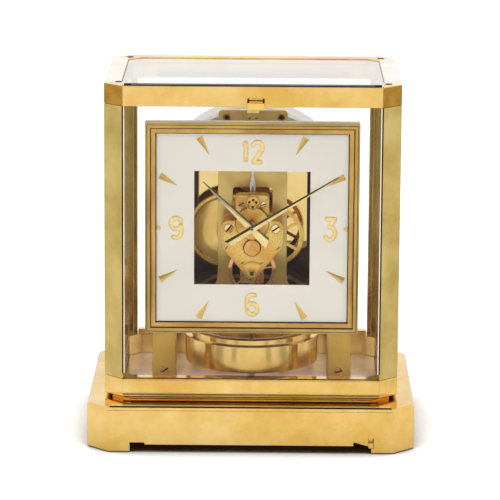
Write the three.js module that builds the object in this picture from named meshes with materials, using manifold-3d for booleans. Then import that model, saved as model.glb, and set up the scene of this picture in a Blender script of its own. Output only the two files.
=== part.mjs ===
// An atmospheric clock: a glazed brass cage on a plinth, with a square dial whose open centre
// shows the movement, a torsion pendulum below it and the bellows drum behind it.
// Lengths are millimetres, angles degrees. +Z is up, the dial faces -Y, and the origin lies on
// the surface that the clock stands on, under the middle of the plinth.
import * as THREE from "three";
import { mergeVertices } from "three/addons/utils/BufferGeometryUtils.js";
import Module from "manifold-3d";

const wasm = await Module();
wasm.setup();

// Gaps
const seam = 0.1; // between flat faces that are screwed together
const fit = 0.3; // between pieces that seat in each other
const play = 0.25; // round an arbor in its hole
const overrun = 1; // how far a cut runs past what it cuts
const weld = 0.2; // how far joined shapes reach into each other

// Plinth
const plinthWidth = 210;
const plinthDepth = 165;
const plinthTop = 29.2;
const plinthLift = 0.6;
const plinthCorner = 14;
const plinthEdge = 1.5;
const plinthWall = 3;
const plinthRoof = 4;
const skirtCutHeight = 5.3;
const skirtFootWidth = 27.7;
const skirtStepWidth = 9.6;
const skirtStepHeight = 6.6;
const bossRadius = 7;
const bossHeight = 9;

// Levelling feet
const footRadius = 8;
const footThickness = 4.5;
const footStudRadius = 3;
const footInsetX = 16;
const footInsetY = 19;
const rearFootInset = 15;
const footRidges = 14;
const footRidgeDepth = 0.5;

// Pendulum lock
const lockNotchWidth = 13;
const lockNotchHeight = 7.6;
const lockSlotHeight = 10.4;
const lockTabWidth = 3;
const lockTabBottom = 3.9;
const lockTabHeight = 3.4;
const lockTabThickness = 2.8;
const lockTabInset = 28;
const lockFingerLength = 8.5;
const lockFingerHeight = 3.4;
const lockFingerTipShare = 0.8;
const lockPivotInset = 42.5;
const lockArmThickness = 2;
const lockArmWidth = 6;
const lockArmBottom = 8;
const lockPinRadius = 2;
const lockPinHeadRadius = 3.6;
const lockPinHeadThickness = 1.2;
const lockTravelAngle = 7;
const plungerRadius = 2.5;
const plungerTravel = 1.5;
const plungerHeadRadius = 7;
const plungerHeadThickness = 2;

// Cage
const cageWidth = 189;
const cageDepth = 135;
const cageCorner = 12;
const cageFrontMargin = 19.5;
const cageFrontGap = 9;
const cageHeadroom = 11.8;
const cageRail = 11;
const cageEdge = 0.6;
const lowerFrameLift = 2.1;
const lowerFrameHeight = 12.1;
const lowerFrameInset = 5;
const rearSillHeight = 3.6;
const rearSillDepth = 5;
const topFrameHeight = 13;
const openingCorner = 8;
const glassLedge = 2.5;
const topGlassThickness = 3;
const topGlassDrop = 0.6;
const postThickness = 3;
const postSideFlange = 18;
const postRearFlange = 16;
const glassThickness = 2.5;
const glassGroove = 2;
const floorThickness = 0.9;

// Front panel
const panelRailDepth = 4.5;
const panelGlassSetback = 1.3;
const panelGlassRise = 7;
const handleWidth = 11.3;
const handleReach = 9.5;
const handleHeight = 4;
const handleThickness = 1;
const handleOffset = 2;
const handleCorner = 1.5;

// Movement plates, measured on depth from the plinth's centre plane
const plateFront = -4;
const plateThickness = 3;
const columnHalfWidth = 22.6;
const columnRise = 68.8;
const columnCorner = 3;
const crossbarDrop = 50.2;
const crossbarHeight = 20;
const crossbarFillet = 9;
const legInner = 49.5;
const legWidth = 16;
const legRise = 9.8;
const legCorner = 3;
const windowHalfWidth = 13;
const windowRise = 18;
const windowSillRise = 0.8;
const windowCorner = 2.5;
const archDrop = 22.2;
const archRise = 8;
const bracketHoleX = 17.85;
const bracketHoleDrop = 4.4;
const bracketHoleRadius = 1.9;
const backPlateFront = 20;
const backPlateThickness = 2;
const backPlateHalfWidth = 36;
const backPlateDrop = 27.5;
const backPlateRise = 49.8;
const platePillarRadius = 2.4;
const platePillarX = 19;
const platePillarDrops = [6, 25];
const cradleHalfWidth = 24;
const cradleDrop = 41.2;
const cradleThickness = 2.5;
const cradleReach = 46;
const cradleFall = 12;

// Brackets at the feet of the legs
const bracketThickness = 2;
const bracketHeight = 17;
const bracketDepth = 15;
const bracketWidth = 14;
const legScrewHeight = 4.3;
const screwHeadRadius = 2.75;
const screwHeadThickness = 1.3;
const screwShankRadius = 1.4;
const screwSlotWidth = 0.7;
const screwSlotDepth = 0.6;

// Drum, bellows and winding chain
const drumRadius = 66;
const drumDrop = 0.2;
const drumClearance = 7.9;
const drumFront = 22.1;
const drumDepth = 38;
const drumWall = 1.5;
const drumEdge = 2;
const coverThickness = 1.6;
const coverLip = 3;
const bellowsMargin = 9;
const bellowsFoldDepth = 7;
const bellowsFolds = 3;
const bellowsDepth = 20;
const studRadius = 3;
const studLength = 5;
const springRadius = 16;
const springWire = 0.7;
const springTurns = 4;
const chainWidth = 1.5;
const chainThickness = 1;
const chainPlane = 16.5;
const chainHoleRadius = 4;

// Going train. Each wheel's teeth are counted; the module follows from a centre distance.
const motionDrop = 16.17;
const escapeDrop = 16.905;
const barrelX = -17.8;
const barrelDrop = 12.2;
const secondWheelFall = 5.9;
const trainModule = 0.49;
const barrelTeeth = 100;
const secondPinionTeeth = 30;
const secondTeeth = 82;
const thirdPinionTeeth = 12;
const thirdTeeth = 22;
const centrePinionTeeth = 20;
const centreTeeth = 30;
const idlerPinionTeeth = 15;
const idlerTeeth = 32;
const escapePinionTeeth = 16;
const cannonTeeth = 8;
const motionTeeth = 48;
const motionPinionTeeth = 30;
const hourTeeth = 60;
const addendumShare = 0.8;
const dedendumShare = 1.15;
const toothRootShare = 0.35;

const arborRadius = 1;
const thinArborRadius = 0.8;
const wheelThickness = 1;
const pinionOverlap = 0.3;
const barrelArborRadius = 2;
const barrelFlangeFront = 3;
const barrelFlangeThickness = 2;
const barrelBodyRadius = 20.5;
const barrelBodyDepth = 9;
const barrelDiscRise = 0.4;
const pulleyRadius = 6;
const pulleyGrooveDepth = 1.5;
const pulleyWidth = 4;
const secondWheelFront = 0.2;
const secondRim = 2.6;
const secondHub = 4.5;
const secondSpokes = 6;
const secondSpokeWidth = 2;

// Escapement module, ahead of the pendulum's axis
const moduleFront = -18;
const moduleThickness = 1.8;
const moduleRise = 16.8;
const moduleTopHalfWidth = 11;
const moduleShoulderRise = 2.8;
const tongueHalfWidth = 7.7;
const tongueDrop = 43.2;
const cockFront = -33.8;
const cockThickness = 2.5;
const cockScrewX = 15.15;
const cockScrewDrop = 3.4;
const cockLobe = 5;
const cockPinX = 16.7;
const cockPinDrop = 16.4;
const cockPinLobe = 2.4;
const cockTipRadius = 3;
const cockPillarRadius = 2.2;
const cockPinPillarRadius = 1.9;
const cockHeadRadius = 3.1;
const cockHeadThickness = 1.8;
const tipCockThickness = 1.2;
const tipCockRadius = 7.7;
const jewelRadius = 1.7;
const thirdWheelFront = -19.6;
const escapeTeethFront = -20.8;
const escapeTeeth = 15;
const escapeTipRadius = 8.2;
const escapeRootRadius = 6.6;
const ringFront = -23.4;
const ringThickness = 1.8;
const ringOuter = 15.5;
const ringInner = 13.2;
const ringSpokes = 5;
const ringSpokeWidth = 1;
const ringHub = 2.4;
const idlerPinionFront = -25.4;
const idlerWheelFront = -27.3;
const motionWheelFront = -29.7;
const motionPinionFront = -35.4;
const pipeWall = 0.75;
const bridgeFront = -29;
const bridgeThickness = 2.5;
const bridgeHalfWidth = 10.8;
const bridgeRise = 17.4;
const bridgeFootRise = 4.4;
const bridgeCorner = 3;
const bridgeScrewX = 7.5;
const bridgeScrewRise = 11.5;
const bridgeFootRadius = 1.8;
const discRise = 13.5;
const discRadius = 4.9;
const discThickness = 1.6;
const discHoleRadius = 0.8;
const discHoleCircle = 2.5;
const palletRise = 9.5;
const palletHub = 1.8;
const palletReach = 5.2;
const palletDrop = 0.55;
const palletArborRadius = 0.6;
const leverPlaneGap = 0.7;
const leverThickness = 0.8;
const leverLength = 8.6;
const forkGap = 1.8;
const forkProng = 0.7;
const forkReach = 2.2;

// Torsion pendulum
const pendulumY = -10;
const ringLift = 15.1;
const ringRadius = 43.5;
const ringWallHeight = 17.2;
const ringStepHeight = 3.6;
const ringStepWidth = 4;
const ringBore = 33;
const ringBevel = 0.6;
const pendulumSpokes = 3;
const pendulumTurnShare = 0.25;
const pendulumSpokeWidth = 8;
const pendulumSpokeHeight = 3;
const hubRadius = 8;
const hubHeight = 7;
const hubLift = 4.7;
const staffRadius = 1.2;
const staffRise = 16.3;
const rollerRadius = 3.2;
const rollerDrop = 36.2;
const rollerThickness = 1;
const rollerPinRadius = 0.4;
const rollerPinLength = 2.5;
const wireRadius = 0.25;
const tubeRadius = 0.9;
const tubeBore = 0.5;
const ferruleRadius = 2.1;
const ferruleLength = 6.3;
const ferruleCone = 9;
const tubeDrop = 13;
const suspensionHalfWidth = 4;
const suspensionHeight = 14;

// Dial and hands
const bezelHalf = 68.4;
const bezelFront = -54;
const bezelDepth = 13;
const bezelClearance = 5.7;
const bezelFace = 7;
const bezelStep = 1.2;
const bezelRebate = 2.2;
const bezelGroove = 0.6;
const dialFront = -50.2;
const dialThickness = 1.2;
const dialBand = 31.3;
const markerLength = 13.5;
const markerMargin = 0.4;
const markerWidth = 4.4;
const markerRise = 0.9;
const dialPillarInset = 3.5;
const dialPillarRadius = 3;
const dialPillarNeckShare = 0.8;
const dialPinRadius = 1.2;
const dialPinRise = 0.8;
const hourHandFront = -52.2;
const minuteHandFront = -54.2;
const handThickness = 0.9;
const minuteTipGap = 0.5;
const minuteTail = 19;
const minuteWidth = 4.6;
const hourLength = 43.6;
const hourTail = 14.9;
const hourWidth = 6;
const handTipWidth = 0.5;
const handLongHeelShare = 0.45;
const handShortHeelShare = 0.1;
const handRidgeShare = 0.2;
const minuteAngle = 58;
const hourAngle = -46;

// Places that follow from the sizes above
// The depths are measured on the pendulum's side of the dial, and the case follows from them.
const cageFront = bezelFront - cageFrontGap;
const cageRear = cageFront + cageDepth;
const plinthFront = cageFront - cageFrontMargin;
const plinthRear = plinthFront + plinthDepth;
const lowerFrameBottom = plinthTop + lowerFrameLift;
const lowerFrameTop = lowerFrameBottom + lowerFrameHeight;
const floorBottom = plinthTop + seam;
const floorTop = floorBottom + floorThickness;
// The dial and the drum behind it both clear the pendulum's ring, and the rest hangs on that.
const ringBottom = floorTop + ringLift;
const ringTop = ringBottom + ringWallHeight + ringStepHeight;
const hubBottom = ringBottom + hubLift;
const dialHeight =
  ringTop + Math.max(bezelHalf + bezelClearance, drumRadius + drumDrop + drumClearance);
const columnTop = dialHeight + columnRise;
const topFrameBottom = columnTop + cageHeadroom;
const topFrameTop = topFrameBottom + topFrameHeight;
const openingHalfWidth = cageWidth / 2 - cageRail;
const openingFront = cageFront + cageRail;
const openingRear = cageRear - cageRail;
const lockTabX = plinthWidth / 2 - lockTabInset;
const lockPivotY = plinthFront + lockPivotInset;
const crossbarTop = dialHeight - crossbarDrop;
const crossbarBottom = crossbarTop - crossbarHeight;
const legTop = dialHeight + legRise;
const windowTop = dialHeight + windowRise;
const windowBottom = dialHeight + windowSillRise;
const archTop = dialHeight - archDrop;
const backPlateBottom = dialHeight - backPlateDrop;
const backPlateTop = dialHeight + backPlateRise;
const drumHeight = dialHeight - drumDrop;
const cradleTop = dialHeight - cradleDrop;
const bellowsRadius = drumRadius - bellowsMargin;
const bellowsInnerRadius = bellowsRadius - bellowsFoldDepth;
const barrelHeight = dialHeight - barrelDrop;
const moduleTop = dialHeight + moduleRise;
const moduleShoulder = dialHeight + moduleShoulderRise;
const tongueBottom = dialHeight - tongueDrop;
const cockScrewHeight = dialHeight - cockScrewDrop;
const cockPinHeight = dialHeight - cockPinDrop;
const bridgeTop = dialHeight + bridgeRise;
const bridgeBottom = dialHeight + bridgeFootRise;
const bridgeScrewHeight = dialHeight + bridgeScrewRise;
const discHeight = dialHeight + discRise;
const staffTop = dialHeight + staffRise;
const rollerHeight = dialHeight - rollerDrop;
const tubeTop = columnTop - tubeDrop;
const dialHalf = bezelHalf - bezelFace + bezelRebate - fit;
const dialPillarX = dialHalf - dialPillarInset;
const apertureHalf = bezelHalf - dialBand;
const markerOuter = bezelHalf - bezelFace - markerMargin;
const markerInner = markerOuter - markerLength;
const minuteLength = bezelHalf - bezelFace / 2 - minuteTipGap;
const plateBack = plateFront + plateThickness;
const backPlateBack = backPlateFront + backPlateThickness;
const moduleBack = moduleFront + moduleThickness;
const cockBack = cockFront + cockThickness;
const legCentre = legInner + legWidth / 2;
const legBottom = floorTop + seam;
const centre = [0, dialHeight];
const motion = [0, dialHeight - motionDrop];
const escape = [0, dialHeight - motionDrop - escapeDrop];
const barrelCentre = [barrelX, barrelHeight];
const secondDistance = (trainModule * (barrelTeeth + secondPinionTeeth)) / 2;
const secondCentre = onCircle(barrelCentre, secondDistance, -secondWheelFall);
const thirdCentre = meetingPoint(
  secondCentre,
  (trainModule * (secondTeeth + thirdPinionTeeth)) / 2,
  centre,
  (trainModule * (thirdTeeth + centrePinionTeeth)) / 2,
);
const pallet = [0, escape[1] + palletRise];
const idlerModule = (2 * motionDrop) / (centreTeeth + idlerPinionTeeth);
const escapeModule = (2 * escapeDrop) / (idlerTeeth + escapePinionTeeth);
const cannonModule = (2 * motionDrop) / (cannonTeeth + motionTeeth);
const hourModule = (2 * motionDrop) / (hourTeeth + motionPinionTeeth);

// The point at a distance and an angle from another, in the plane of the dial.
function onCircle([x, z], radius, degrees) {
  const angle = THREE.MathUtils.degToRad(degrees);
  return [x + radius * Math.cos(angle), z + radius * Math.sin(angle)];
}

// Where two arbors' centre distances meet: the point on the left, seen from the front.
function meetingPoint([ax, az], a, [bx, bz], b) {
  const span = Math.hypot(bx - ax, bz - az);
  const along = (a * a - b * b + span * span) / (2 * span);
  const aside = Math.sqrt(a * a - along * along);
  const ux = (bx - ax) / span;
  const uz = (bz - az) / span;
  return [ax + along * ux - aside * uz, az + along * uz + aside * ux];
}

// Solids

// A closed geometry as a solid that can be joined and cut.
function solid(geometry) {
  const bare = geometry.clone();
  bare.deleteAttribute("normal");
  bare.deleteAttribute("uv");
  const merged = mergeVertices(bare);
  return new wasm.Manifold(
    new wasm.Mesh({
      numProp: 3,
      vertProperties: merged.attributes.position.array,
      triVerts: new Uint32Array(merged.index.array),
    }),
  );
}

function geometryOf(body) {
  const { vertProperties, triVerts } = body.getMesh();
  const geometry = new THREE.BufferGeometry();
  geometry.setAttribute("position", new THREE.BufferAttribute(vertProperties, 3));
  geometry.setIndex(new THREE.BufferAttribute(triVerts, 1));
  geometry.computeVertexNormals();
  return geometry;
}

const join = (...bodies) => bodies.reduce((whole, body) => whole.add(body));
const cut = (body, ...tools) => tools.reduce((rest, tool) => rest.subtract(tool), body);

function box(x0, x1, y0, y1, z0, z1) {
  const geometry = new THREE.BoxGeometry(x1 - x0, y1 - y0, z1 - z0);
  return solid(geometry.translate((x0 + x1) / 2, (y0 + y1) / 2, (z0 + z1) / 2));
}

// A plan outline raised from one level to another.
function raised(shape, bottom, top, curveSegments = 6) {
  const depth = top - bottom;
  const geometry = new THREE.ExtrudeGeometry(shape, { depth, bevelEnabled: false, curveSegments });
  return solid(geometry.translate(0, 0, bottom));
}

// An outline drawn in the dial's plane, standing from its front to its back.
function standing(shape, front, back, curveSegments = 6) {
  const depth = back - front;
  const geometry = new THREE.ExtrudeGeometry(shape, { depth, bevelEnabled: false, curveSegments });
  return solid(geometry.rotateX(Math.PI / 2).translate(0, back, 0));
}

// A profile of radius and height turned about the vertical, or about the depth axis.
function turned(points, segments) {
  return new THREE.LatheGeometry(
    points.map(([radius, height]) => new THREE.Vector2(radius, height)),
    segments,
  );
}
const turnedUp = (points, segments = 24) => solid(turned(points, segments).rotateX(Math.PI / 2));
const turnedDeep = (points, segments = 24) => {
  const reversed = [...points].reverse().map(([radius, depth]) => [radius, -depth]);
  return solid(turned(reversed, segments).rotateX(Math.PI));
};

// A plain round bar along the depth axis, or upright.
function rod(radius, front, back, [x, z] = [0, 0], segments = 10) {
  const geometry = new THREE.CylinderGeometry(radius, radius, back - front, segments);
  return solid(geometry.translate(x, (front + back) / 2, z));
}
function post(radius, bottom, top, [x, y] = [0, 0], segments = 10) {
  const geometry = new THREE.CylinderGeometry(radius, radius, top - bottom, segments);
  return solid(geometry.rotateX(Math.PI / 2).translate(x, y, (bottom + top) / 2));
}

// Outlines

// A closed outline through points, each with its own corner radius.
function outline(corners) {
  const shape = new THREE.Shape();
  const count = corners.length;
  corners.forEach(([x, y, radius = 0], i) => {
    const [px, py] = corners[(i + count - 1) % count];
    const [nx, ny] = corners[(i + 1) % count];
    const before = Math.hypot(px - x, py - y);
    const after = Math.hypot(nx - x, ny - y);
    const start = [x + ((px - x) * radius) / before, y + ((py - y) * radius) / before];
    const end = [x + ((nx - x) * radius) / after, y + ((ny - y) * radius) / after];
    if (i) shape.lineTo(...start);
    else shape.moveTo(...start);
    if (radius) shape.quadraticCurveTo(x, y, ...end);
  });
  shape.closePath();
  return shape;
}

function rectangle(x0, x1, y0, y1, radius = 0) {
  return outline([
    [x0, y0, radius],
    [x1, y0, radius],
    [x1, y1, radius],
    [x0, y1, radius],
  ]);
}

function circle(radius, [x, y] = [0, 0]) {
  const shape = new THREE.Shape();
  shape.absarc(x, y, radius, 0, 2 * Math.PI);
  return shape;
}

// A rectangle with its four corners cut at 45 degrees.
function octagon(halfWidth, front, rear, corner) {
  return [
    [-halfWidth + corner, front],
    [halfWidth - corner, front],
    [halfWidth, front + corner],
    [halfWidth, rear - corner],
    [halfWidth - corner, rear],
    [-halfWidth + corner, rear],
    [-halfWidth, rear - corner],
    [-halfWidth, front + corner],
  ];
}

// A closed body through level loops that all have the same number of points.
function loft(levels) {
  const count = levels[0].points.length;
  const positions = levels.flatMap(({ z, points }) => points.flatMap(([x, y]) => [x, y, z]));
  const triangles = [];
  for (let level = 1; level < levels.length; level += 1) {
    for (let i = 0; i < count; i += 1) {
      const next = (i + 1) % count;
      const a = (level - 1) * count;
      const b = level * count;
      triangles.push(a + i, a + next, b + next, a + i, b + next, b + i);
    }
  }
  const last = (levels.length - 1) * count;
  for (let i = 2; i < count; i += 1) {
    triangles.push(0, i, i - 1, last, last + i - 1, last + i);
  }
  const geometry = new THREE.BufferGeometry();
  geometry.setAttribute("position", new THREE.Float32BufferAttribute(positions, 3));
  geometry.setIndex(triangles);
  return solid(geometry);
}

// A block on the octagonal plan, with its upper and lower edges bevelled.
function bevelledBlock({ halfWidth, front, rear, corner, bottom, top, lowerEdge, upperEdge }) {
  const slope = 2 - Math.SQRT2;
  const level = (z, inset) => ({
    z,
    points: octagon(halfWidth - inset, front + inset, rear - inset, corner - slope * inset),
  });
  return loft([
    level(bottom, lowerEdge),
    level(bottom + lowerEdge, 0),
    level(top - upperEdge, 0),
    level(top, upperEdge),
  ]);
}

// Wheels

// A toothed outline. Each tooth narrows to a point, and phase is the angle of one tooth. A
// coarse one has no flats between its teeth, as on the small pinions and the hidden wheels.
function toothedShape(teeth, module, phase, coarse) {
  const pitch = (2 * Math.PI) / teeth;
  const root = module * (teeth / 2 - dedendumShare);
  const tip = module * (teeth / 2 + addendumShare);
  const shape = new THREE.Shape();
  for (let i = 0; i < teeth; i += 1) {
    const tooth = [
      [root, -toothRootShare],
      [tip, 0],
      [root, toothRootShare],
    ];
    const point = [
      [root, -1 / 2],
      [tip, 0],
    ];
    const flank = coarse ? point : tooth;
    flank.forEach(([radius, share], j) => {
      const angle = phase + (i + share) * pitch;
      const place = [radius * Math.cos(angle), radius * Math.sin(angle)];
      if (i || j) shape.lineTo(...place);
      else shape.moveTo(...place);
    });
  }
  shape.closePath();
  return shape;
}

// The openings between the spokes of a wheel, with the outer arc in a number of steps.
function spokeHoles(spokes, inner, outer, width, start, steps) {
  const arc = (radius, from, to, count) =>
    Array.from({ length: count + 1 }, (_, i) => {
      const angle = from + ((to - from) * i) / count;
      return [radius * Math.cos(angle), radius * Math.sin(angle)];
    });
  return Array.from({ length: spokes }, (_, i) => {
    const middle = start + ((i + 0.5) * 2 * Math.PI) / spokes;
    const innerHalf = Math.PI / spokes - Math.asin(width / 2 / inner);
    const outerHalf = Math.PI / spokes - Math.asin(width / 2 / outer);
    return outline([
      ...arc(outer, middle - outerHalf, middle + outerHalf, steps),
      ...arc(inner, middle + innerHalf, middle - innerHalf, Math.ceil(steps / 3)),
    ]);
  });
}

// The phase that puts a wheel in mesh with one whose own phase is known.
function meshedPhase(from, fromTeeth, fromPhase, to, toTeeth) {
  const line = Math.atan2(to[1] - from[1], to[0] - from[0]);
  const share = ((line - fromPhase) * fromTeeth) / (2 * Math.PI);
  return line + Math.PI - ((0.5 - share) * 2 * Math.PI) / toTeeth;
}

const phases = { barrel: 0, centre: 0, hour: 0 };
phases.secondPinion = meshedPhase(
  barrelCentre, barrelTeeth, phases.barrel, secondCentre, secondPinionTeeth,
);
phases.second = phases.secondPinion;
phases.thirdPinion = meshedPhase(
  secondCentre, secondTeeth, phases.second, thirdCentre, thirdPinionTeeth,
);
phases.third = phases.thirdPinion;
phases.centrePinion = meshedPhase(
  thirdCentre, thirdTeeth, phases.third, centre, centrePinionTeeth,
);
phases.idlerPinion = meshedPhase(centre, centreTeeth, phases.centre, motion, idlerPinionTeeth);
phases.idler = phases.idlerPinion;
phases.escapePinion = meshedPhase(motion, idlerTeeth, phases.idler, escape, escapePinionTeeth);
phases.motion = meshedPhase(centre, cannonTeeth, phases.centre, motion, motionTeeth);
phases.motionPinion = meshedPhase(centre, hourTeeth, phases.hour, motion, motionPinionTeeth);

const arborHole = (radius, at) => circle(radius + play, at);

// Case

function makePlinth() {
  const block = bevelledBlock({
    halfWidth: plinthWidth / 2,
    front: plinthFront,
    rear: plinthRear,
    corner: plinthCorner,
    bottom: plinthLift,
    top: plinthTop,
    lowerEdge: plinthEdge / 3,
    upperEdge: plinthEdge,
  });
  const hollow = raised(
    outline(
      octagon(
        plinthWidth / 2 - plinthWall,
        plinthFront + plinthWall,
        plinthRear - plinthWall,
        plinthCorner,
      ),
    ),
    plinthLift - overrun,
    plinthTop - plinthRoof,
  );
  const frontCut = (x0, x1, height, low = 0) =>
    box(x0, x1, plinthFront - overrun, plinthFront + plinthWall + overrun, low, height);
  const tabLeft = lockTabX - lockTabWidth / 2 - fit;
  const tabRight = lockTabX + lockTabWidth / 2 + fit;
  const half = plinthWidth / 2 - skirtFootWidth;
  const roofBottom = plinthTop - plinthRoof;
  const feet = [...frontFeet, rearFoot];
  const bosses = feet.map((at) => post(bossRadius, roofBottom - bossHeight, roofBottom + weld, at));
  const sockets = feet.map((at) =>
    post(footStudRadius + fit, roofBottom - bossHeight - overrun, roofBottom, at),
  );
  const pivotAt = [lockTabX, lockPivotY];
  const headTop = lockArmBottom - fit;
  const pivot = post(lockPinRadius, headTop - weld, roofBottom + weld, pivotAt);
  const pivotHead = post(lockPinHeadRadius, headTop - lockPinHeadThickness, headTop, pivotAt);
  return cut(
    join(cut(block, hollow), ...bosses, pivot, pivotHead),
    ...sockets,
    frontCut(-half, half, skirtCutHeight),
    frontCut(-half, -half + skirtStepWidth, skirtStepHeight),
    frontCut(tabRight - lockNotchWidth, tabRight, lockNotchHeight, lockTabBottom - fit),
    frontCut(tabLeft, tabRight, lockSlotHeight, lockTabBottom - fit),
    post(plungerRadius + fit, roofBottom - overrun, plinthTop + overrun, [0, pendulumY]),
  );
}

const frontFeet = [-1, 1].map((side) => [
  side * (plinthWidth / 2 - footInsetX),
  plinthFront + footInsetY,
]);
const rearFoot = [0, plinthRear - rearFootInset];

// A foot stands on the ground and its stud rises into the plinth's boss.
function makeFoot() {
  const ridged = new THREE.Shape();
  for (let i = 0; i < 2 * footRidges; i += 1) {
    const angle = (i * Math.PI) / footRidges;
    const radius = footRadius - (i % 2) * footRidgeDepth;
    const point = [radius * Math.cos(angle), radius * Math.sin(angle)];
    if (i) ridged.lineTo(...point);
    else ridged.moveTo(...point);
  }
  ridged.closePath();
  const studTop = plinthTop - plinthRoof - fit;
  return join(
    raised(ridged, 0, footThickness),
    post(footStudRadius, footThickness - weld, studTop),
  );
}

function makeFloor() {
  const plan = outline(
    octagon(openingHalfWidth - fit, openingFront + fit, openingRear - fit, openingCorner),
  );
  plan.holes.push(circle(plungerRadius + fit, [0, pendulumY]));
  return raised(plan, floorBottom, floorTop);
}

function makeLowerFrame() {
  const halfWidth = cageWidth / 2;
  const rail = bevelledBlock({
    halfWidth,
    front: cageFront,
    rear: cageRear,
    corner: cageCorner,
    bottom: lowerFrameBottom,
    top: lowerFrameTop,
    lowerEdge: cageEdge,
    upperEdge: cageEdge,
  });
  const foot = raised(
    outline(
      octagon(
        halfWidth - lowerFrameInset,
        cageFront + lowerFrameInset,
        cageRear - lowerFrameInset,
        cageCorner,
      ),
    ),
    floorBottom,
    lowerFrameBottom + weld,
  );
  const opening = raised(
    outline(octagon(openingHalfWidth, openingFront, openingRear, openingCorner)),
    floorBottom - overrun,
    lowerFrameTop + overrun,
  );
  const sillHalf = openingHalfWidth - postSideFlange / 3;
  const sillBack = openingRear + cageRail / 3;
  const sill = box(
    -sillHalf,
    sillHalf,
    sillBack - rearSillDepth,
    sillBack,
    lowerFrameTop - weld,
    lowerFrameTop + rearSillHeight,
  );
  const grooveFront = cageFront + panelGlassSetback - fit;
  const groove = box(
    -panelGlassHalf - fit,
    panelGlassHalf + fit,
    grooveFront,
    grooveFront + glassThickness + 2 * fit,
    lowerFrameTop - glassGroove,
    lowerFrameTop + overrun,
  );
  return join(cut(join(rail, foot), opening, groove), sill);
}

function makeTopFrame() {
  const block = bevelledBlock({
    halfWidth: cageWidth / 2,
    front: cageFront,
    rear: cageRear,
    corner: cageCorner,
    bottom: topFrameBottom,
    top: topFrameTop,
    lowerEdge: cageEdge,
    upperEdge: cageEdge,
  });
  const opening = (grow, bottom) =>
    raised(
      outline(
        octagon(
          openingHalfWidth + grow,
          openingFront - grow,
          openingRear + grow,
          openingCorner,
        ),
      ),
      bottom,
      topFrameTop + overrun,
    );
  const ledge = topFrameTop - topGlassDrop - topGlassThickness - seam;
  const panelHalf = panelGlassHalf + fit;
  const notch = box(
    -panelHalf,
    panelHalf,
    cageFront - overrun,
    cageFront + panelRailDepth + fit,
    topFrameBottom - overrun,
    topFrameTop + overrun,
  );
  return cut(block, opening(-glassLedge, topFrameBottom - overrun), opening(0, ledge), notch);
}

function makeTopGlass() {
  const plan = outline(
    octagon(openingHalfWidth - fit, openingFront + fit, openingRear - fit, openingCorner),
  );
  const top = topFrameTop - topGlassDrop;
  return raised(plan, top - topGlassThickness, top);
}

// A corner post: a bevelled bar whose flanges hold the glasses from outside.
function makePost(side, rear) {
  const inner = cageCorner + (Math.SQRT2 - 1) * postThickness;
  const front = [
    [cageCorner, 0],
    [cageCorner, Math.SQRT2 * postThickness],
  ];
  const back = [
    [cageCorner, 0],
    [postRearFlange, 0],
    [postRearFlange, postThickness],
    [inner, postThickness],
  ];
  const section = [
    [0, postSideFlange],
    [0, cageCorner],
    ...(rear ? back : front),
    [postThickness, inner],
    [postThickness, postSideFlange],
  ];
  const points = section.map(([across, deep]) => [
    side * (cageWidth / 2 - across),
    rear ? cageRear - deep : cageFront + deep,
  ]);
  if (side > 0 === rear) points.reverse();
  return raised(outline(points), lowerFrameTop + seam, topFrameBottom - seam);
}

function makeSideGlass(side) {
  const outer = cageWidth / 2 - postThickness - fit;
  const x = [side * outer, side * (outer - glassThickness)].sort((a, b) => a - b);
  const inset = cageCorner + postThickness + glassThickness;
  return box(
    ...x,
    cageFront + inset,
    cageRear - inset,
    lowerFrameTop + seam,
    topFrameBottom - seam,
  );
}

function makeRearGlass() {
  const half = cageWidth / 2 - cageCorner - postThickness;
  const outer = cageRear - postThickness - fit;
  return box(
    -half,
    half,
    outer - glassThickness,
    outer,
    lowerFrameTop + seam,
    topFrameBottom - seam,
  );
}

// Front panel

const panelGlassHalf = cageWidth / 2 - cageCorner - fit;

function makePanelRail() {
  const rail = box(
    -panelGlassHalf,
    panelGlassHalf,
    cageFront,
    cageFront + panelRailDepth,
    topFrameBottom,
    topFrameTop,
  );
  const slotFront = cageFront + panelGlassSetback - seam;
  const slot = box(
    -panelGlassHalf - overrun,
    panelGlassHalf + overrun,
    slotFront,
    slotFront + glassThickness + 2 * seam,
    topFrameBottom - overrun,
    topFrameBottom + panelGlassRise + seam,
  );
  return cut(rail, slot);
}

function makePanelGlass() {
  const front = cageFront + panelGlassSetback;
  return box(
    -panelGlassHalf,
    panelGlassHalf,
    front,
    front + glassThickness,
    lowerFrameTop - glassGroove + fit,
    topFrameBottom + panelGlassRise,
  );
}

function makePanelHandle() {
  const half = handleWidth / 2;
  const back = cageFront - seam;
  const front = back - handleReach;
  const wall = handleThickness;
  const strip = outline([
    [-half, back],
    [-half, front, handleCorner],
    [half, front, handleCorner],
    [half, back],
    [half - wall, back],
    [half - wall, front + wall, handleCorner / 2],
    [-half + wall, front + wall, handleCorner / 2],
    [-half + wall, back],
  ]);
  return raised(strip, topFrameBottom, topFrameBottom + handleHeight, 3);
}

// Movement frame

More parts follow.
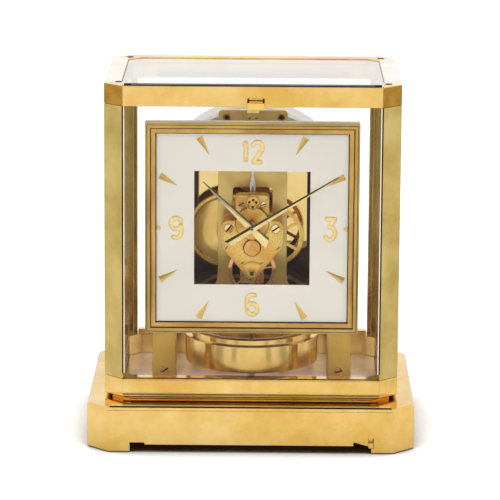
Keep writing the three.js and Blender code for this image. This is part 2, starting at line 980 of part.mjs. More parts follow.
function makeFrontPlate() {
  const legOuter = legInner + legWidth;
  const half = [
    [columnHalfWidth, columnTop, columnCorner],
    [columnHalfWidth, crossbarTop, crossbarFillet],
    [legInner, crossbarTop, crossbarFillet / 2],
    [legInner, legTop, legCorner],
    [legOuter, legTop, legCorner],
    [legOuter, legBottom],
    [legInner, legBottom],
    [legInner, crossbarBottom, legCorner],
  ];
  const mirrored = half.map(([x, z, r]) => [-x, z, r]).reverse();
  const shape = outline([...mirrored, ...half].reverse());
  shape.holes.push(
    rectangle(-windowHalfWidth, windowHalfWidth, windowBottom, windowTop, windowCorner),
    outline([
      [-windowHalfWidth, crossbarBottom + archRise],
      [windowHalfWidth, crossbarBottom + archRise],
      [windowHalfWidth, archTop, archRise],
      [-windowHalfWidth, archTop, archRise],
    ]),
    arborHole(barrelArborRadius, barrelCentre),
    arborHole(arborRadius, secondCentre),
    arborHole(thinArborRadius, thirdCentre),
  );
  for (const side of [-1, 1]) {
    shape.holes.push(
      circle(bracketHoleRadius, [side * bracketHoleX, columnTop - bracketHoleDrop]),
      circle(screwShankRadius + play, [side * legCentre, legBottom + legScrewHeight]),
    );
  }
  return standing(shape, plateFront, plateBack, 4);
}

// An angle bracket that stands on the floor behind a leg.
function makeLegBracket() {
  const leaf = (x0, x1, y0, y1, z0, z1) => box(x0, x1, y0, y1, z0, z1);
  const half = bracketWidth / 2;
  const front = plateBack + seam;
  const upright = leaf(-half, half, front, front + bracketThickness, legBottom, legBottom + bracketHeight);
  const base = leaf(-half, half, front, front + bracketDepth, legBottom, legBottom + bracketThickness);
  const hole = rod(screwShankRadius + play, front - overrun, front + bracketThickness + overrun, [
    0,
    legBottom + legScrewHeight,
  ]);
  return cut(join(upright, base), hole);
}

// A slotted screw with its head's underside on a face; its shank runs back from there.
function makeScrew(headRadius, headThickness, shankRadius, shankLength, slotAngle) {
  const bevel = headThickness / 4;
  const head = turnedDeep(
    [
      [0, -headThickness],
      [headRadius - bevel, -headThickness],
      [headRadius, -headThickness + bevel],
      [headRadius, 0],
      [shankRadius, 0],
      [shankRadius, shankLength],
      [0, shankLength],
    ],
    12,
  );
  const slot = new THREE.BoxGeometry(2 * headRadius + overrun, 2 * screwSlotDepth, screwSlotWidth)
    .rotateY(slotAngle)
    .translate(0, -headThickness, 0);
  return cut(head, solid(slot));
}

function makeBackPlate() {
  const shape = rectangle(
    -backPlateHalfWidth, backPlateHalfWidth, backPlateBottom, backPlateTop, columnCorner,
  );
  shape.holes.push(
    arborHole(barrelArborRadius, barrelCentre),
    arborHole(arborRadius, secondCentre),
    circle(chainHoleRadius, [0, drumHeight]),
  );
  const pillars = [-1, 1].flatMap((side) =>
    platePillarDrops.map((drop) =>
      rod(platePillarRadius, plateBack + seam, backPlateFront + weld, [
        side * platePillarX,
        backPlateTop - drop,
      ]),
    ),
  );
  return join(standing(shape, backPlateFront, backPlateBack, 4), ...pillars);
}

// A bent strip under the movement that the drum's face bears on.
function makeCradle() {
  const lower = cradleTop - cradleThickness;
  const shape = outline([
    [-cradleReach, lower - cradleFall],
    [-cradleHalfWidth, lower],
    [cradleHalfWidth, lower],
    [cradleReach, lower - cradleFall],
    [cradleReach, cradleTop - cradleFall],
    [cradleHalfWidth, cradleTop],
    [-cradleHalfWidth, cradleTop],
    [-cradleReach, cradleTop - cradleFall],
  ]);
  return standing(shape, plateBack + seam, drumFront - seam);
}

// Drum and bellows

const coverFront = drumFront + drumDepth + seam;

function makeDrum() {
  const inner = drumRadius - drumWall;
  const back = drumFront + drumDepth;
  return turnedDeep(
    [
      [chainHoleRadius, drumFront],
      [drumRadius - drumEdge, drumFront],
      [drumRadius, drumFront + drumEdge],
      [drumRadius, back],
      [inner, back],
      [inner, drumFront + drumWall],
      [chainHoleRadius, drumFront + drumWall],
      [chainHoleRadius, drumFront],
    ],
    36,
  );
}

function makeDrumCover() {
  const lipOuter = drumRadius - drumWall - fit;
  return turnedDeep(
    [
      [0, coverFront],
      [lipOuter - drumWall, coverFront],
      [lipOuter - drumWall, coverFront - coverLip],
      [lipOuter, coverFront - coverLip],
      [lipOuter, coverFront],
      [drumRadius, coverFront],
      [drumRadius - drumEdge / 2, coverFront + coverThickness],
      [0, coverFront + coverThickness],
    ],
    36,
  );
}

const bellowsFront = coverFront - seam - bellowsDepth;

function makeBellows() {
  const points = [
    [0, bellowsFront - studLength],
    [studRadius, bellowsFront - studLength],
    [studRadius, bellowsFront],
  ];
  const pitch = bellowsDepth / bellowsFolds;
  for (let fold = 0; fold < bellowsFolds; fold += 1) {
    const start = bellowsFront + fold * pitch;
    points.push([bellowsInnerRadius, start], [bellowsRadius, start + pitch / 2]);
  }
  points.push([bellowsInnerRadius, bellowsFront + bellowsDepth], [0, bellowsFront + bellowsDepth]);
  return turnedDeep(points, 24);
}

// A compression spring between the drum's front wall and the bellows: one wire, as a helix.
function makeBellowsSpring() {
  const sides = 4;
  const stepsPerTurn = 10;
  const front = drumFront + drumWall + fit + springWire;
  const back = bellowsFront - fit - springWire;
  const steps = springTurns * stepsPerTurn;
  const pitch = (back - front) / springTurns;
  console.log("bellows spring: least gap between turns", (pitch - 2 * springWire).toFixed(2), "mm");
  const positions = [];
  for (let step = 0; step <= steps; step += 1) {
    const turn = (2 * Math.PI * step) / stepsPerTurn;
    const depth = front + ((back - front) * step) / steps;
    for (let side = 0; side < sides; side += 1) {
      const angle = (2 * Math.PI * side) / sides;
      const radius = springRadius + springWire * Math.cos(angle);
      positions.push(radius * Math.cos(turn), depth + springWire * Math.sin(angle));
      positions.push(radius * Math.sin(turn));
    }
  }
  const triangles = [];
  for (let step = 0; step < steps; step += 1) {
    for (let side = 0; side < sides; side += 1) {
      const a = step * sides + side;
      const b = step * sides + ((side + 1) % sides);
      triangles.push(a, b, b + sides, a, b + sides, a + sides);
    }
  }
  const last = steps * sides;
  for (let side = 2; side < sides; side += 1) {
    triangles.push(0, side, side - 1, last, last + side - 1, last + side);
  }
  const geometry = new THREE.BufferGeometry();
  geometry.setAttribute("position", new THREE.Float32BufferAttribute(positions, 3));
  geometry.setIndex(triangles);
  return solid(geometry);
}

// The winding chain, from the bellows' stud through the back plate and over to the pulley.
function makeWindingChain() {
  const groove = pulleyRadius - pulleyGrooveDepth;
  const lead = groove + chainThickness / 2 + fit;
  const line = Math.atan2(drumHeight - barrelHeight, -barrelX);
  const offset = Math.asin(lead / Math.hypot(barrelX, drumHeight - barrelHeight));
  const tangent = line - offset + Math.PI / 2;
  const route = new THREE.CurvePath();
  const from = new THREE.Vector3(0, bellowsFront - studLength - fit, drumHeight);
  const bend = new THREE.Vector3(0, chainPlane, drumHeight);
  const end = new THREE.Vector3(
    barrelX + lead * Math.cos(tangent),
    chainPlane,
    barrelHeight + lead * Math.sin(tangent),
  );
  const into = bend.clone().addScaledVector(new THREE.Vector3(0, 1, 0), studRadius);
  const away = bend.clone().addScaledVector(end.clone().sub(bend).normalize(), studRadius);
  route.add(new THREE.LineCurve3(from, into));
  route.add(new THREE.QuadraticBezierCurve3(into, bend, away));
  route.add(new THREE.LineCurve3(away, end));
  const section = rectangle(
    -chainThickness / 2, chainThickness / 2, -chainWidth / 2, chainWidth / 2,
  );
  return solid(new THREE.ExtrudeGeometry(section, { steps: 16, extrudePath: route }));
}

// Going train

// A wheel or pinion: its outline less its spoke openings, between two depths.
function makeToothed(teeth, module, phase, front, thickness, holes = [], coarse = false) {
  const shape = toothedShape(teeth, module, phase, coarse);
  shape.holes.push(...holes);
  return standing(shape, front, front + thickness);
}
const makePinion = (...sizes) => makeToothed(...sizes, [], true);

function makeBarrel() {
  const front = barrelFlangeFront - barrelDiscRise;
  const flangeBack = barrelFlangeFront + barrelFlangeThickness;
  const bodyBack = flangeBack + barrelBodyDepth;
  const flange = makeToothed(
    barrelTeeth, trainModule, phases.barrel, barrelFlangeFront, barrelFlangeThickness,
  );
  const body = turnedDeep(
    [
      [0, front],
      [barrelBodyRadius, front],
      [barrelBodyRadius + barrelDiscRise, barrelFlangeFront],
      [barrelBodyRadius, flangeBack + barrelDiscRise],
      [barrelBodyRadius, bodyBack],
      [0, bodyBack],
    ],
    24,
  );
  return cut(join(flange, body), rod(bore(barrelArborRadius), front - overrun, bodyBack + overrun));
}

// The winding arbor with the chain's pulley.
function makeBarrelArbor() {
  const half = pulleyWidth / 2;
  const groove = pulleyRadius - pulleyGrooveDepth;
  return turnedDeep(
    [
      [0, plateFront + seam],
      [barrelArborRadius, plateFront + seam],
      [barrelArborRadius, chainPlane - half],
      [pulleyRadius, chainPlane - half],
      [groove, chainPlane - half / 2],
      [groove, chainPlane + half / 2],
      [pulleyRadius, chainPlane + half],
      [barrelArborRadius, chainPlane + half],
      [barrelArborRadius, backPlateBack - seam],
      [0, backPlateBack - seam],
    ],
    16,
  );
}

function makeSecondWheel() {
  const rimInner = trainModule * (secondTeeth / 2 - dedendumShare) - secondRim;
  const turn = Math.PI / secondSpokes;
  const holes = spokeHoles(secondSpokes, secondHub, rimInner, secondSpokeWidth, turn, 6);
  return join(
    makeToothed(secondTeeth, trainModule, phases.second, secondWheelFront, wheelThickness, holes),
    makePinion(
      secondPinionTeeth,
      trainModule,
      phases.secondPinion,
      barrelFlangeFront - pinionOverlap,
      barrelFlangeThickness + 2 * pinionOverlap,
    ),
    rod(arborRadius, plateFront + seam, backPlateBack - seam),
  );
}

function makeThirdWheel() {
  return join(
    makePinion(
      thirdPinionTeeth,
      trainModule,
      phases.thirdPinion,
      secondWheelFront - pinionOverlap,
      wheelThickness + 2 * pinionOverlap,
    ),
    makePinion(thirdTeeth, trainModule, phases.third, thirdWheelFront, wheelThickness),
    rod(
      thinArborRadius,
      thirdWheelFront - pinionOverlap,
      secondWheelFront + wheelThickness + pinionOverlap,
    ),
  );
}

function makeMinuteArbor() {
  const cannonFront = motionWheelFront - pinionOverlap;
  return join(
    rod(arborRadius, minuteHandFront - seam, moduleBack - seam),
    makePinion(
      centrePinionTeeth,
      trainModule,
      phases.centrePinion,
      thirdWheelFront - pinionOverlap,
      wheelThickness + 2 * pinionOverlap,
    ),
    makeToothed(centreTeeth, idlerModule, phases.centre, idlerPinionFront, wheelThickness),
    makePinion(
      cannonTeeth,
      cannonModule,
      phases.centre,
      cannonFront,
      wheelThickness + 2 * pinionOverlap,
    ),
  );
}

function makeHourWheel() {
  const pipeFront = hourHandFront - seam;
  const back = motionPinionFront + wheelThickness;
  return cut(
    join(
      makeToothed(hourTeeth, hourModule, phases.hour, motionPinionFront, wheelThickness),
      rod(bore(arborRadius) + pipeWall, pipeFront, back),
    ),
    rod(bore(arborRadius), pipeFront - overrun, back + overrun),
  );
}

function makeMotionWheel() {
  return join(
    makeToothed(motionPinionTeeth, hourModule, phases.motionPinion, motionPinionFront, wheelThickness),
    makePinion(motionTeeth, cannonModule, phases.motion, motionWheelFront, wheelThickness),
    rod(thinArborRadius, motionPinionFront - pinionOverlap, moduleBack - seam),
    rod(2 * thinArborRadius, motionPinionFront - pinionOverlap, motionPinionFront + weld),
  );
}

// The idler turns loose on the motion arbor, between the centre wheel and the escape pinion.
function makeIdler() {
  const pipeFront = idlerWheelFront - pinionOverlap;
  const pipeBack = idlerPinionFront + wheelThickness + pinionOverlap;
  return cut(
    join(
      makePinion(idlerTeeth, escapeModule, phases.idler, idlerWheelFront, wheelThickness),
      makePinion(idlerPinionTeeth, idlerModule, phases.idlerPinion, idlerPinionFront, wheelThickness),
      rod(bore(thinArborRadius) + pipeWall, pipeFront, pipeBack),
    ),
    rod(bore(thinArborRadius), pipeFront - overrun, pipeBack + overrun),
  );
}

// The escape arbor: its pinion, the smooth spoked rim and the fifteen-toothed wheel.
function makeEscapeWheel() {
  const rim = circle(ringOuter);
  const turn = Math.PI / (4 * ringSpokes);
  rim.holes.push(...spokeHoles(ringSpokes, ringHub, ringInner, ringSpokeWidth, turn, 8));
  const toothed = new THREE.Shape();
  for (let i = 0; i < escapeTeeth; i += 1) {
    const tooth = (i * 2 * Math.PI) / escapeTeeth;
    const lean = Math.PI / escapeTeeth / 2;
    const root = [escapeRootRadius * Math.cos(tooth), escapeRootRadius * Math.sin(tooth)];
    const tip = [escapeTipRadius * Math.cos(tooth - lean), escapeTipRadius * Math.sin(tooth - lean)];
    if (i) toothed.lineTo(...root);
    else toothed.moveTo(...root);
    toothed.lineTo(...tip);
  }
  toothed.closePath();
  return join(
    standing(rim, ringFront, ringFront + ringThickness, 20),
    standing(toothed, escapeTeethFront, escapeTeethFront + wheelThickness),
    makePinion(
      escapePinionTeeth,
      escapeModule,
      phases.escapePinion,
      idlerWheelFront - pinionOverlap,
      wheelThickness + 2 * pinionOverlap,
    ),
    rod(thinArborRadius, cockFront + seam, moduleBack - seam),
  );
}

// Escapement module

function makeModulePlate() {
  const half = [
    [moduleTopHalfWidth, moduleTop, columnCorner],
    [moduleTopHalfWidth, moduleShoulder, columnCorner],
    [cockScrewX + cockLobe - fit, moduleShoulder, cockLobe],
    [cockPinX + cockPinLobe, cockPinHeight - cockPinLobe, cockPinLobe],
    [tongueHalfWidth, escape[1] + tongueHalfWidth, cockTipRadius],
    [tongueHalfWidth, tongueBottom],
  ];
  const mirrored = half.map(([x, z, r]) => [-x, z, r]).reverse();
  const shape = outline([...mirrored, ...half].reverse());
  shape.holes.push(
    arborHole(arborRadius, centre),
    arborHole(thinArborRadius, motion),
    arborHole(thinArborRadius, escape),
    arborHole(palletArborRadius, pallet),
    arborHole(thinArborRadius, thirdCentre),
  );
  const pillars = [-1, 1].flatMap((side) => [
    rod(cockPillarRadius, cockBack + seam, plateFront - seam, [side * cockScrewX, cockScrewHeight]),
    rod(cockPinPillarRadius, cockBack + seam, plateFront - seam, [side * cockPinX, cockPinHeight]),
  ]);
  return join(standing(shape, moduleFront, moduleBack, 4), ...pillars);
}

// The V-shaped cock in front, which carries the centre, motion and escape arbors.
function makeMovementCock() {
  const top = cockScrewHeight + cockLobe;
  const side = cockScrewX + cockLobe;
  const dip = bore(arborRadius) + cockTipRadius;
  const half = [
    [dip, dialHeight + dip, cockTipRadius / 2],
    [cockScrewX - cockLobe, top, cockTipRadius],
    [side, top, cockLobe],
    [side, cockScrewHeight - cockLobe, cockTipRadius],
    [cockPinX + cockPinLobe, cockPinHeight, cockPinLobe],
    [cockTipRadius, escape[1] - cockTipRadius, cockTipRadius / 2],
  ];
  const mirrored = half.map(([x, z, r]) => [-x, z, r]).reverse();
  const shape = outline([...mirrored, ...half].reverse());
  shape.holes.push(
    arborHole(arborRadius, centre),
    arborHole(thinArborRadius, motion),
    arborHole(thinArborRadius, escape),
  );
  for (const sign of [-1, 1]) {
    shape.holes.push(circle(screwShankRadius + play, [sign * cockScrewX, cockScrewHeight]));
  }
  return standing(shape, cockFront, cockBack, 4);
}

function bore(radius) {
  return radius + play;
}

// The fan-shaped cock over the escape arbor's front pivot.
function makeTipCock() {
  const lean = THREE.MathUtils.degToRad(42);
  const shape = new THREE.Shape();
  const [x, z] = escape;
  const tip = cockTipRadius;
  shape.absarc(x, z, tipCockRadius, lean, Math.PI - lean, false);
  shape.absarc(x, z - fit, tip, Math.PI + lean / 2, 2 * Math.PI - lean / 2, false);
  shape.closePath();
  shape.holes.push(circle(jewelRadius, escape));
  return standing(shape, cockFront - seam - tipCockThickness, cockFront - seam, 8);
}

// The bridge over the pendulum's staff, with its round jewelled disc.
function makeBalanceBridge() {
  const back = bridgeFront + bridgeThickness;
  const plate = standing(
    rectangle(-bridgeHalfWidth, bridgeHalfWidth, bridgeBottom, bridgeTop, bridgeCorner),
    bridgeFront,
    back,
    4,
  );
  const disc = circle(discRadius, [0, discHeight]);
  for (const degrees of [20, 90, 160, 270]) {
    disc.holes.push(circle(discHoleRadius, onCircle([0, discHeight], discHoleCircle, degrees)));
  }
  const feet = [-1, 1].map((side) =>
    rod(bridgeFootRadius, back - weld, moduleFront - seam, [side * bridgeScrewX, bridgeScrewHeight]),
  );
  return join(
    plate,
    standing(disc, bridgeFront - discThickness, bridgeFront + weld, 5),
    ...feet,
  );
}

// The pallets hang over the escape wheel; behind the plate the lever reaches down to the staff.
function makePalletFork() {
  const [, rise] = pallet;
  const reach = escapeTipRadius + palletDrop;
  const tooth = (degrees) => onCircle(escape, reach, degrees);
  const [leftX, leftZ] = tooth(118);
  const anchor = outline([
    [leftX, leftZ],
    [leftX - palletHub / 2, leftZ - palletHub / 2],
    [-palletReach, rise + palletHub / 3, palletHub / 3],
    [0, rise + palletHub],
    [palletReach, rise + palletHub / 3, palletHub / 3],
    [-leftX + palletHub / 2, leftZ - palletHub / 2],
    [-leftX, leftZ],
    [palletHub, rise - palletHub / 2, palletHub / 3],
    [-palletHub, rise - palletHub / 2, palletHub / 3],
  ]);
  const leverFront = moduleBack + leverPlaneGap;
  const leverBack = leverFront + leverThickness;
  const half = forkGap / 2 + forkProng;
  const end = rise - leverLength;
  const lever = outline([
    [-palletHub / 2, rise + palletHub / 2],
    [-palletHub / 2, end + half],
    [-half, end],
    [half, end],
    [palletHub / 2, end + half],
    [palletHub / 2, rise + palletHub / 2],
  ]);
  const prongs = [-1, 1].map((side) => {
    const x = [side * (forkGap / 2), side * half].sort((a, b) => a - b);
    return box(...x, leverFront, leverBack + forkReach, end, end + forkProng);
  });
  return join(
    standing(anchor, escapeTeethFront, escapeTeethFront + wheelThickness),
    rod(palletArborRadius, escapeTeethFront - weld, leverBack + weld, pallet),
    standing(lever, leverFront, leverBack),
    ...prongs,
  );
}

// Pendulum

function makePendulumRing() {
  const shoulder = ringBottom + ringWallHeight;
  const top = shoulder + ringStepHeight;
  const step = ringRadius - ringStepWidth;
  return turnedUp(
    [
      [ringBore, ringBottom],
      [ringRadius, ringBottom],
      [ringRadius, shoulder - ringBevel],
      [ringRadius - ringBevel, shoulder],
      [step, shoulder],
      [step, top - ringBevel],
      [step - ringBevel, top],
      [ringBore, top],
      [ringBore, ringBottom],
    ],
    44,
  );
}

// The staff, with the hub and spokes that carry the ring and the roller that meets the fork.
function makePendulumStaff() {
  const reach = ringBore - 2 * fit;
  const spokes = Array.from({ length: pendulumSpokes }, (_, i) => {
    const spoke = new THREE.BoxGeometry(reach, pendulumSpokeWidth, pendulumSpokeHeight);
    return solid(
      spoke
        .translate(reach / 2, 0, hubBottom + pendulumSpokeHeight / 2)
        .rotateZ((2 * Math.PI * (i + pendulumTurnShare)) / pendulumSpokes),
    );
  });
  const hub = turnedUp(
    [
      [0, hubBottom],
      [hubRadius, hubBottom],
      [hubRadius, hubBottom + hubHeight / 2],
      [hubRadius / 2, hubBottom + hubHeight],
      [staffRadius, hubBottom + hubHeight],
      [staffRadius, rollerHeight],
      [rollerRadius, rollerHeight],
      [rollerRadius, rollerHeight + rollerThickness],
      [staffRadius, rollerHeight + rollerThickness],
      [staffRadius, staffTop],
      [0, staffTop],
    ],
    16,
  );
  const pin = post(
    rollerPinRadius,
    rollerHeight + rollerThickness - weld,
    rollerHeight + rollerPinLength,
    [0, -(rollerRadius - 2 * rollerPinRadius)],
    8,
  );
  return join(hub, ...spokes, pin);
}

function makeSuspensionTube() {
  const bottom = staffTop + fit;
  return turnedUp(
    [
      [tubeBore, bottom],
      [ferruleRadius, bottom],
      [ferruleRadius, bottom + ferruleLength],
      [tubeRadius, bottom + ferruleLength + ferruleCone],
      [tubeRadius, tubeTop],
      [tubeBore, tubeTop],
      [tubeBore, bottom],
    ],
    12,
  );
}

function makeSuspensionBlock() {
  const bottom = columnTop - suspensionHeight;
  const front = pendulumY - suspensionHalfWidth;
  const block = raised(
    rectangle(-suspensionHalfWidth, suspensionHalfWidth, front, plateFront - seam),
    bottom,
    columnTop,
  );
  const socket = post(tubeRadius + seam, bottom - overrun, tubeTop + seam, [0, pendulumY]);
  const eye = post(tubeBore, tubeTop, columnTop + overrun, [0, pendulumY], 8);
  return cut(block, socket, eye);
}

// Pendulum lock

// The lever swings on a pin under the plinth. The ramp at its inner end lifts the plunger as the
// tab is pushed along the notch: it climbs at the rate at which the plunger rises.
function makeLockLever() {
  const top = lockArmBottom + lockArmThickness;
  const half = lockArmWidth / 2;
  const pivot = [lockTabX, lockPivotY];
  const left = lockTabX - lockTabWidth / 2;
  const right = lockTabX + lockTabWidth / 2;
  const behindSkirt = plinthFront + plinthWall + fit;
  const toAxis = Math.atan2(pendulumY - lockPivotY, -lockTabX);
  const inner = Math.hypot(lockTabX, pendulumY - lockPivotY);
  const arm = raised(rectangle(0, inner, -half, half, half), 0, lockArmThickness, 4);
  const travel = inner * THREE.MathUtils.degToRad(lockTravelAngle);
  const ramp = outline([
    [0, 0],
    [plungerHeadRadius + travel, 0],
    [plungerHeadRadius + travel, lockArmThickness + plungerTravel],
    [plungerHeadRadius, lockArmThickness],
    [0, lockArmThickness],
  ]);
  const rampBody = solid(
    new THREE.ExtrudeGeometry(ramp, { depth: lockArmWidth, bevelEnabled: false })
      .rotateX(Math.PI / 2)
      .rotateZ(Math.PI / 2)
      .translate(inner - lockArmWidth, 0, 0),
  );
  const swung = join(arm, rampBody).rotate([0, 0, THREE.MathUtils.radToDeg(toAxis)]);
  const placed = swung.translate([...pivot, lockArmBottom]);
  const front = box(left, right, behindSkirt, lockPivotY, lockArmBottom, top);
  const hub = post(lockArmWidth, lockArmBottom, top, pivot, 20);
  const bend = box(
    left,
    right,
    behindSkirt,
    behindSkirt + lockTabThickness,
    lockTabBottom,
    top,
  );
  const tab = box(
    left,
    right,
    plinthFront,
    behindSkirt + weld,
    lockTabBottom,
    lockTabBottom + lockTabHeight,
  );
  const finger = standing(
    outline([
      [left - lockFingerLength, lockTabBottom + lockFingerHeight * lockFingerTipShare],
      [lockTabX, lockTabBottom],
      [lockTabX, lockTabBottom + lockFingerHeight],
    ]),
    behindSkirt,
    behindSkirt + lockTabThickness / 2,
  );
  const hole = post(lockPinRadius + play, lockArmBottom - overrun, top + overrun, pivot);
  return cut(join(placed, front, hub, bend, tab, finger), hole);
}

function makeLockPlunger() {
  const bottom = lockArmBottom + lockArmThickness + fit;
  return turnedUp(
    [
      [0, bottom],
      [plungerHeadRadius, bottom],
      [plungerHeadRadius, bottom + plungerHeadThickness],
      [plungerRadius, bottom + plungerHeadThickness],
      [plungerRadius, hubBottom - plungerTravel - fit],
      [0, hubBottom - plungerTravel - fit],
    ],
    20,
  );
}

// Dial and hands

function makeBezel() {
  const back = bezelFront + bezelDepth;
  const inner = bezelHalf - bezelFace;
  const square = (half) => rectangle(-half, half, dialHeight - half, dialHeight + half);
  const ring = (outer, hole, front, rear) => {
    const shape = square(outer);
    shape.holes.push(square(hole));
    return standing(shape, front, rear);
  };
  const lip = dialFront - fit;
  const grooveFront = bezelFront + bezelDepth / 2;
  return join(
    ring(bezelHalf, bezelHalf - bezelFace / 2, bezelFront, grooveFront),
    ring(bezelHalf - bezelGroove, inner + bezelRebate, grooveFront - weld, grooveFront + bezelGroove),
    ring(bezelHalf, inner + bezelRebate, grooveFront + bezelGroove - weld, back),
    ring(bezelHalf - bezelFace / 2 + weld, inner, bezelFront + bezelStep, lip),
    ring(bezelHalf - bezelFace / 2 + weld, inner + bezelRebate, lip - weld, grooveFront),
  );
}

// The dial, with a ridged dart for each hour that has no numeral.
function makeDial() {
  const square = (size) => rectangle(-size, size, dialHeight - size, dialHeight + size);
  const shape = square(dialHalf);
  shape.holes.push(square(apertureHalf));
  const plate = standing(shape, dialFront, dialFront + dialThickness);
  const markers = [1, 2, 4, 5, 7, 8, 10, 11].map((hour) => {
    const angle = (hour * Math.PI) / 6;
    const along = new THREE.Vector2(Math.sin(angle), Math.cos(angle));
    const reach = 1 / Math.max(Math.abs(along.x), Math.abs(along.y));
    return makeDart(angle, markerInner * reach, (markerOuter - markerWidth / 2) * reach);
  });
  const pins = [-1, 1].map((side) =>
    rod(dialPinRadius, dialFront - dialPinRise, dialFront + weld, [side * dialPillarX, dialHeight]),
  );
  return join(plate, ...markers, ...pins);
}

// A dart: a wedge with a raised ridge, wide end outward, on the dial's face.
function makeDart(angle, inner, outer) {
  const half = markerWidth / 2;
  const back = dialFront + weld;
  const ridge = dialFront - markerRise;
  const base = [
    [0, inner],
    [half, outer],
    [-half, outer],
  ];
  const turn = ([x, z]) => [
    x * Math.cos(angle) + z * Math.sin(angle),
    -x * Math.sin(angle) + z * Math.cos(angle) + dialHeight,
  ];
  const place = (point, y) => {
    const [x, z] = turn(point);
    return [x, y, z];
  };
  const corners = base.map((point) => place(point, back));
  const edge = base.map((point) => place(point, dialFront - markerRise / 3));
  const top = place([0, outer], ridge);
  const positions = [...corners, ...edge, top].flat();
  const faces = [
    [0, 2, 1],
    [0, 1, 4], [0, 4, 3],
    [1, 2, 5], [1, 5, 4],
    [2, 0, 3], [2, 3, 5],
    [3, 4, 6],
    [3, 6, 5],
    [4, 5, 6],
  ];
  const geometry = new THREE.BufferGeometry();
  geometry.setAttribute("position", new THREE.Float32BufferAttribute(positions, 3));
  geometry.setIndex(faces.flat());
  return solid(geometry);
}

function makeDialPillar() {
  const front = dialFront + dialThickness + seam;
  const shoulder = dialPillarRadius / 2;
  return turnedDeep(
    [
      [0, front],
      [dialPillarRadius, front],
      [dialPillarRadius, front + shoulder],
      [dialPillarRadius * dialPillarNeckShare, front + 2 * shoulder],
      [dialPillarRadius * dialPillarNeckShare, plateFront - seam - 2 * shoulder],
      [dialPillarRadius, plateFront - seam - shoulder],
      [dialPillarRadius, plateFront - seam],
      [0, plateFront - seam],
    ],
    12,
  );
}

// A tapered hand, ridged along its middle, widest at a tail that is cut aslant.
function makeHand(length, tail, width, front, holeRadius) {
  const back = front + handThickness;
  const tip = handTipWidth / 2;
  const half = width / 2;
  const edge = back - handThickness / 3;
  const outlinePoints = [
    [tip, length],
    [half, -tail + width * handLongHeelShare],
    [-half, -tail - width * handShortHeelShare],
    [-tip, length],
  ];
  const ridge = [
    [0, length],
    [0, -tail + width * handRidgeShare],
  ];
  const rear = outlinePoints.map(([x, z]) => [x, back, z]);
  const rim = outlinePoints.map(([x, z]) => [x, edge, z]);
  const crest = ridge.map(([x, z]) => [x, front, z]);
  const positions = [...rear, ...rim, ...crest].flat();
  const faces = [
    [0, 1, 2], [0, 2, 3],
    [0, 4, 5], [0, 5, 1],
    [1, 5, 6], [1, 6, 2],
    [2, 6, 7], [2, 7, 3],
    [3, 7, 4], [3, 4, 0],
    [4, 8, 9], [4, 9, 5],
    [5, 9, 6],
    [6, 9, 8], [6, 8, 7],
    [7, 8, 4],
  ];
  const geometry = new THREE.BufferGeometry();
  geometry.setAttribute("position", new THREE.Float32BufferAttribute(positions, 3));
  geometry.setIndex(faces.flat());
  return cut(solid(geometry), rod(holeRadius, front - overrun, back + overrun));
}

// Finishes
const finish = (color, roughness, metalness) => ({ color, roughness, metalness });
const polishedBrass = finish(0xe2b957, 0.14, 1);
const brushedBrass = finish(0xc9b06a, 0.38, 1);
const copper = finish(0xd99a55, 0.25, 1);
const steel = finish(0xb9bcc0, 0.25, 1);
const silvered = finish(0xdcdcd8, 0.3, 1);
const enamel = finish(0xe9e6df, 0.5, 0);
const glass = { ...finish(0xe8f0ee, 0.05, 0), transparent: true, opacity: 0.2 };

const clock = new THREE.Group();

// Adds a mesh: its name, its solid, its finish, and where its own origin goes.
function add(name, body, material, x = 0, y = 0, z = 0, turn = 0) {
  const mesh = new THREE.Mesh(geometryOf(body), new THREE.MeshStandardMaterial(material));
  mesh.name = name;
  mesh.position.set(x, y, z);
  mesh.rotation.y = THREE.MathUtils.degToRad(turn);
  clock.add(mesh);
}
const addOn = (name, body, material, [x, z]) => add(name, body, material, x, 0, z);

// Case
add("base_plinth", makePlinth(), polishedBrass);
add("floor_plate", makeFloor(), silvered);
add("foot_front_left", makeFoot(), polishedBrass, ...frontFeet[0]);
add("foot_front_right", makeFoot(), polishedBrass, ...frontFeet[1]);
add("foot_rear", makeFoot(), polishedBrass, ...rearFoot);
add("lower_frame", makeLowerFrame(), polishedBrass);
add("post_front_left", makePost(-1, false), polishedBrass);
add("post_front_right", makePost(1, false), polishedBrass);
add("post_rear_left", makePost(-1, true), polishedBrass);
add("post_rear_right", makePost(1, true), polishedBrass);
add("top_frame", makeTopFrame(), polishedBrass);
add("top_glass", makeTopGlass(), glass);
add("glass_left", makeSideGlass(-1), glass);
add("glass_right", makeSideGlass(1), glass);
add("glass_rear", makeRearGlass(), glass);
add("front_panel_rail", makePanelRail(), polishedBrass);
add("front_panel_glass", makePanelGlass(), glass);
add("front_panel_handle", makePanelHandle(), polishedBrass, handleOffset);
add("lock_lever", makeLockLever(), polishedBrass);
add("lock_plunger", makeLockPlunger(), steel, 0, pendulumY);

// Movement frame
add("front_plate", makeFrontPlate(), brushedBrass);
add("leg_bracket_left", makeLegBracket(), polishedBrass, -legCentre);
add("leg_bracket_right", makeLegBracket(), polishedBrass, legCentre);
for (const [name, side] of [["left", -1], ["right", 1]]) {
  const shank = plateThickness + bracketThickness;
  const screw = makeScrew(screwHeadRadius, screwHeadThickness, screwShankRadius, shank, 0);
  const height = legBottom + legScrewHeight;
  add(`leg_screw_${name}`, screw, polishedBrass, side * legCentre, plateFront - seam, height);
}
add("back_plate", makeBackPlate(), polishedBrass);
add("drum_cradle", makeCradle(), polishedBrass);
addOn("drum_housing", makeDrum(), silvered, [0, drumHeight]);
addOn("drum_cover", makeDrumCover(), silvered, [0, drumHeight]);
addOn("bellows", makeBellows(), silvered, [0, drumHeight]);
addOn("bellows_spring", makeBellowsSpring(), steel, [0, drumHeight]);
add("winding_chain", makeWindingChain(), steel);

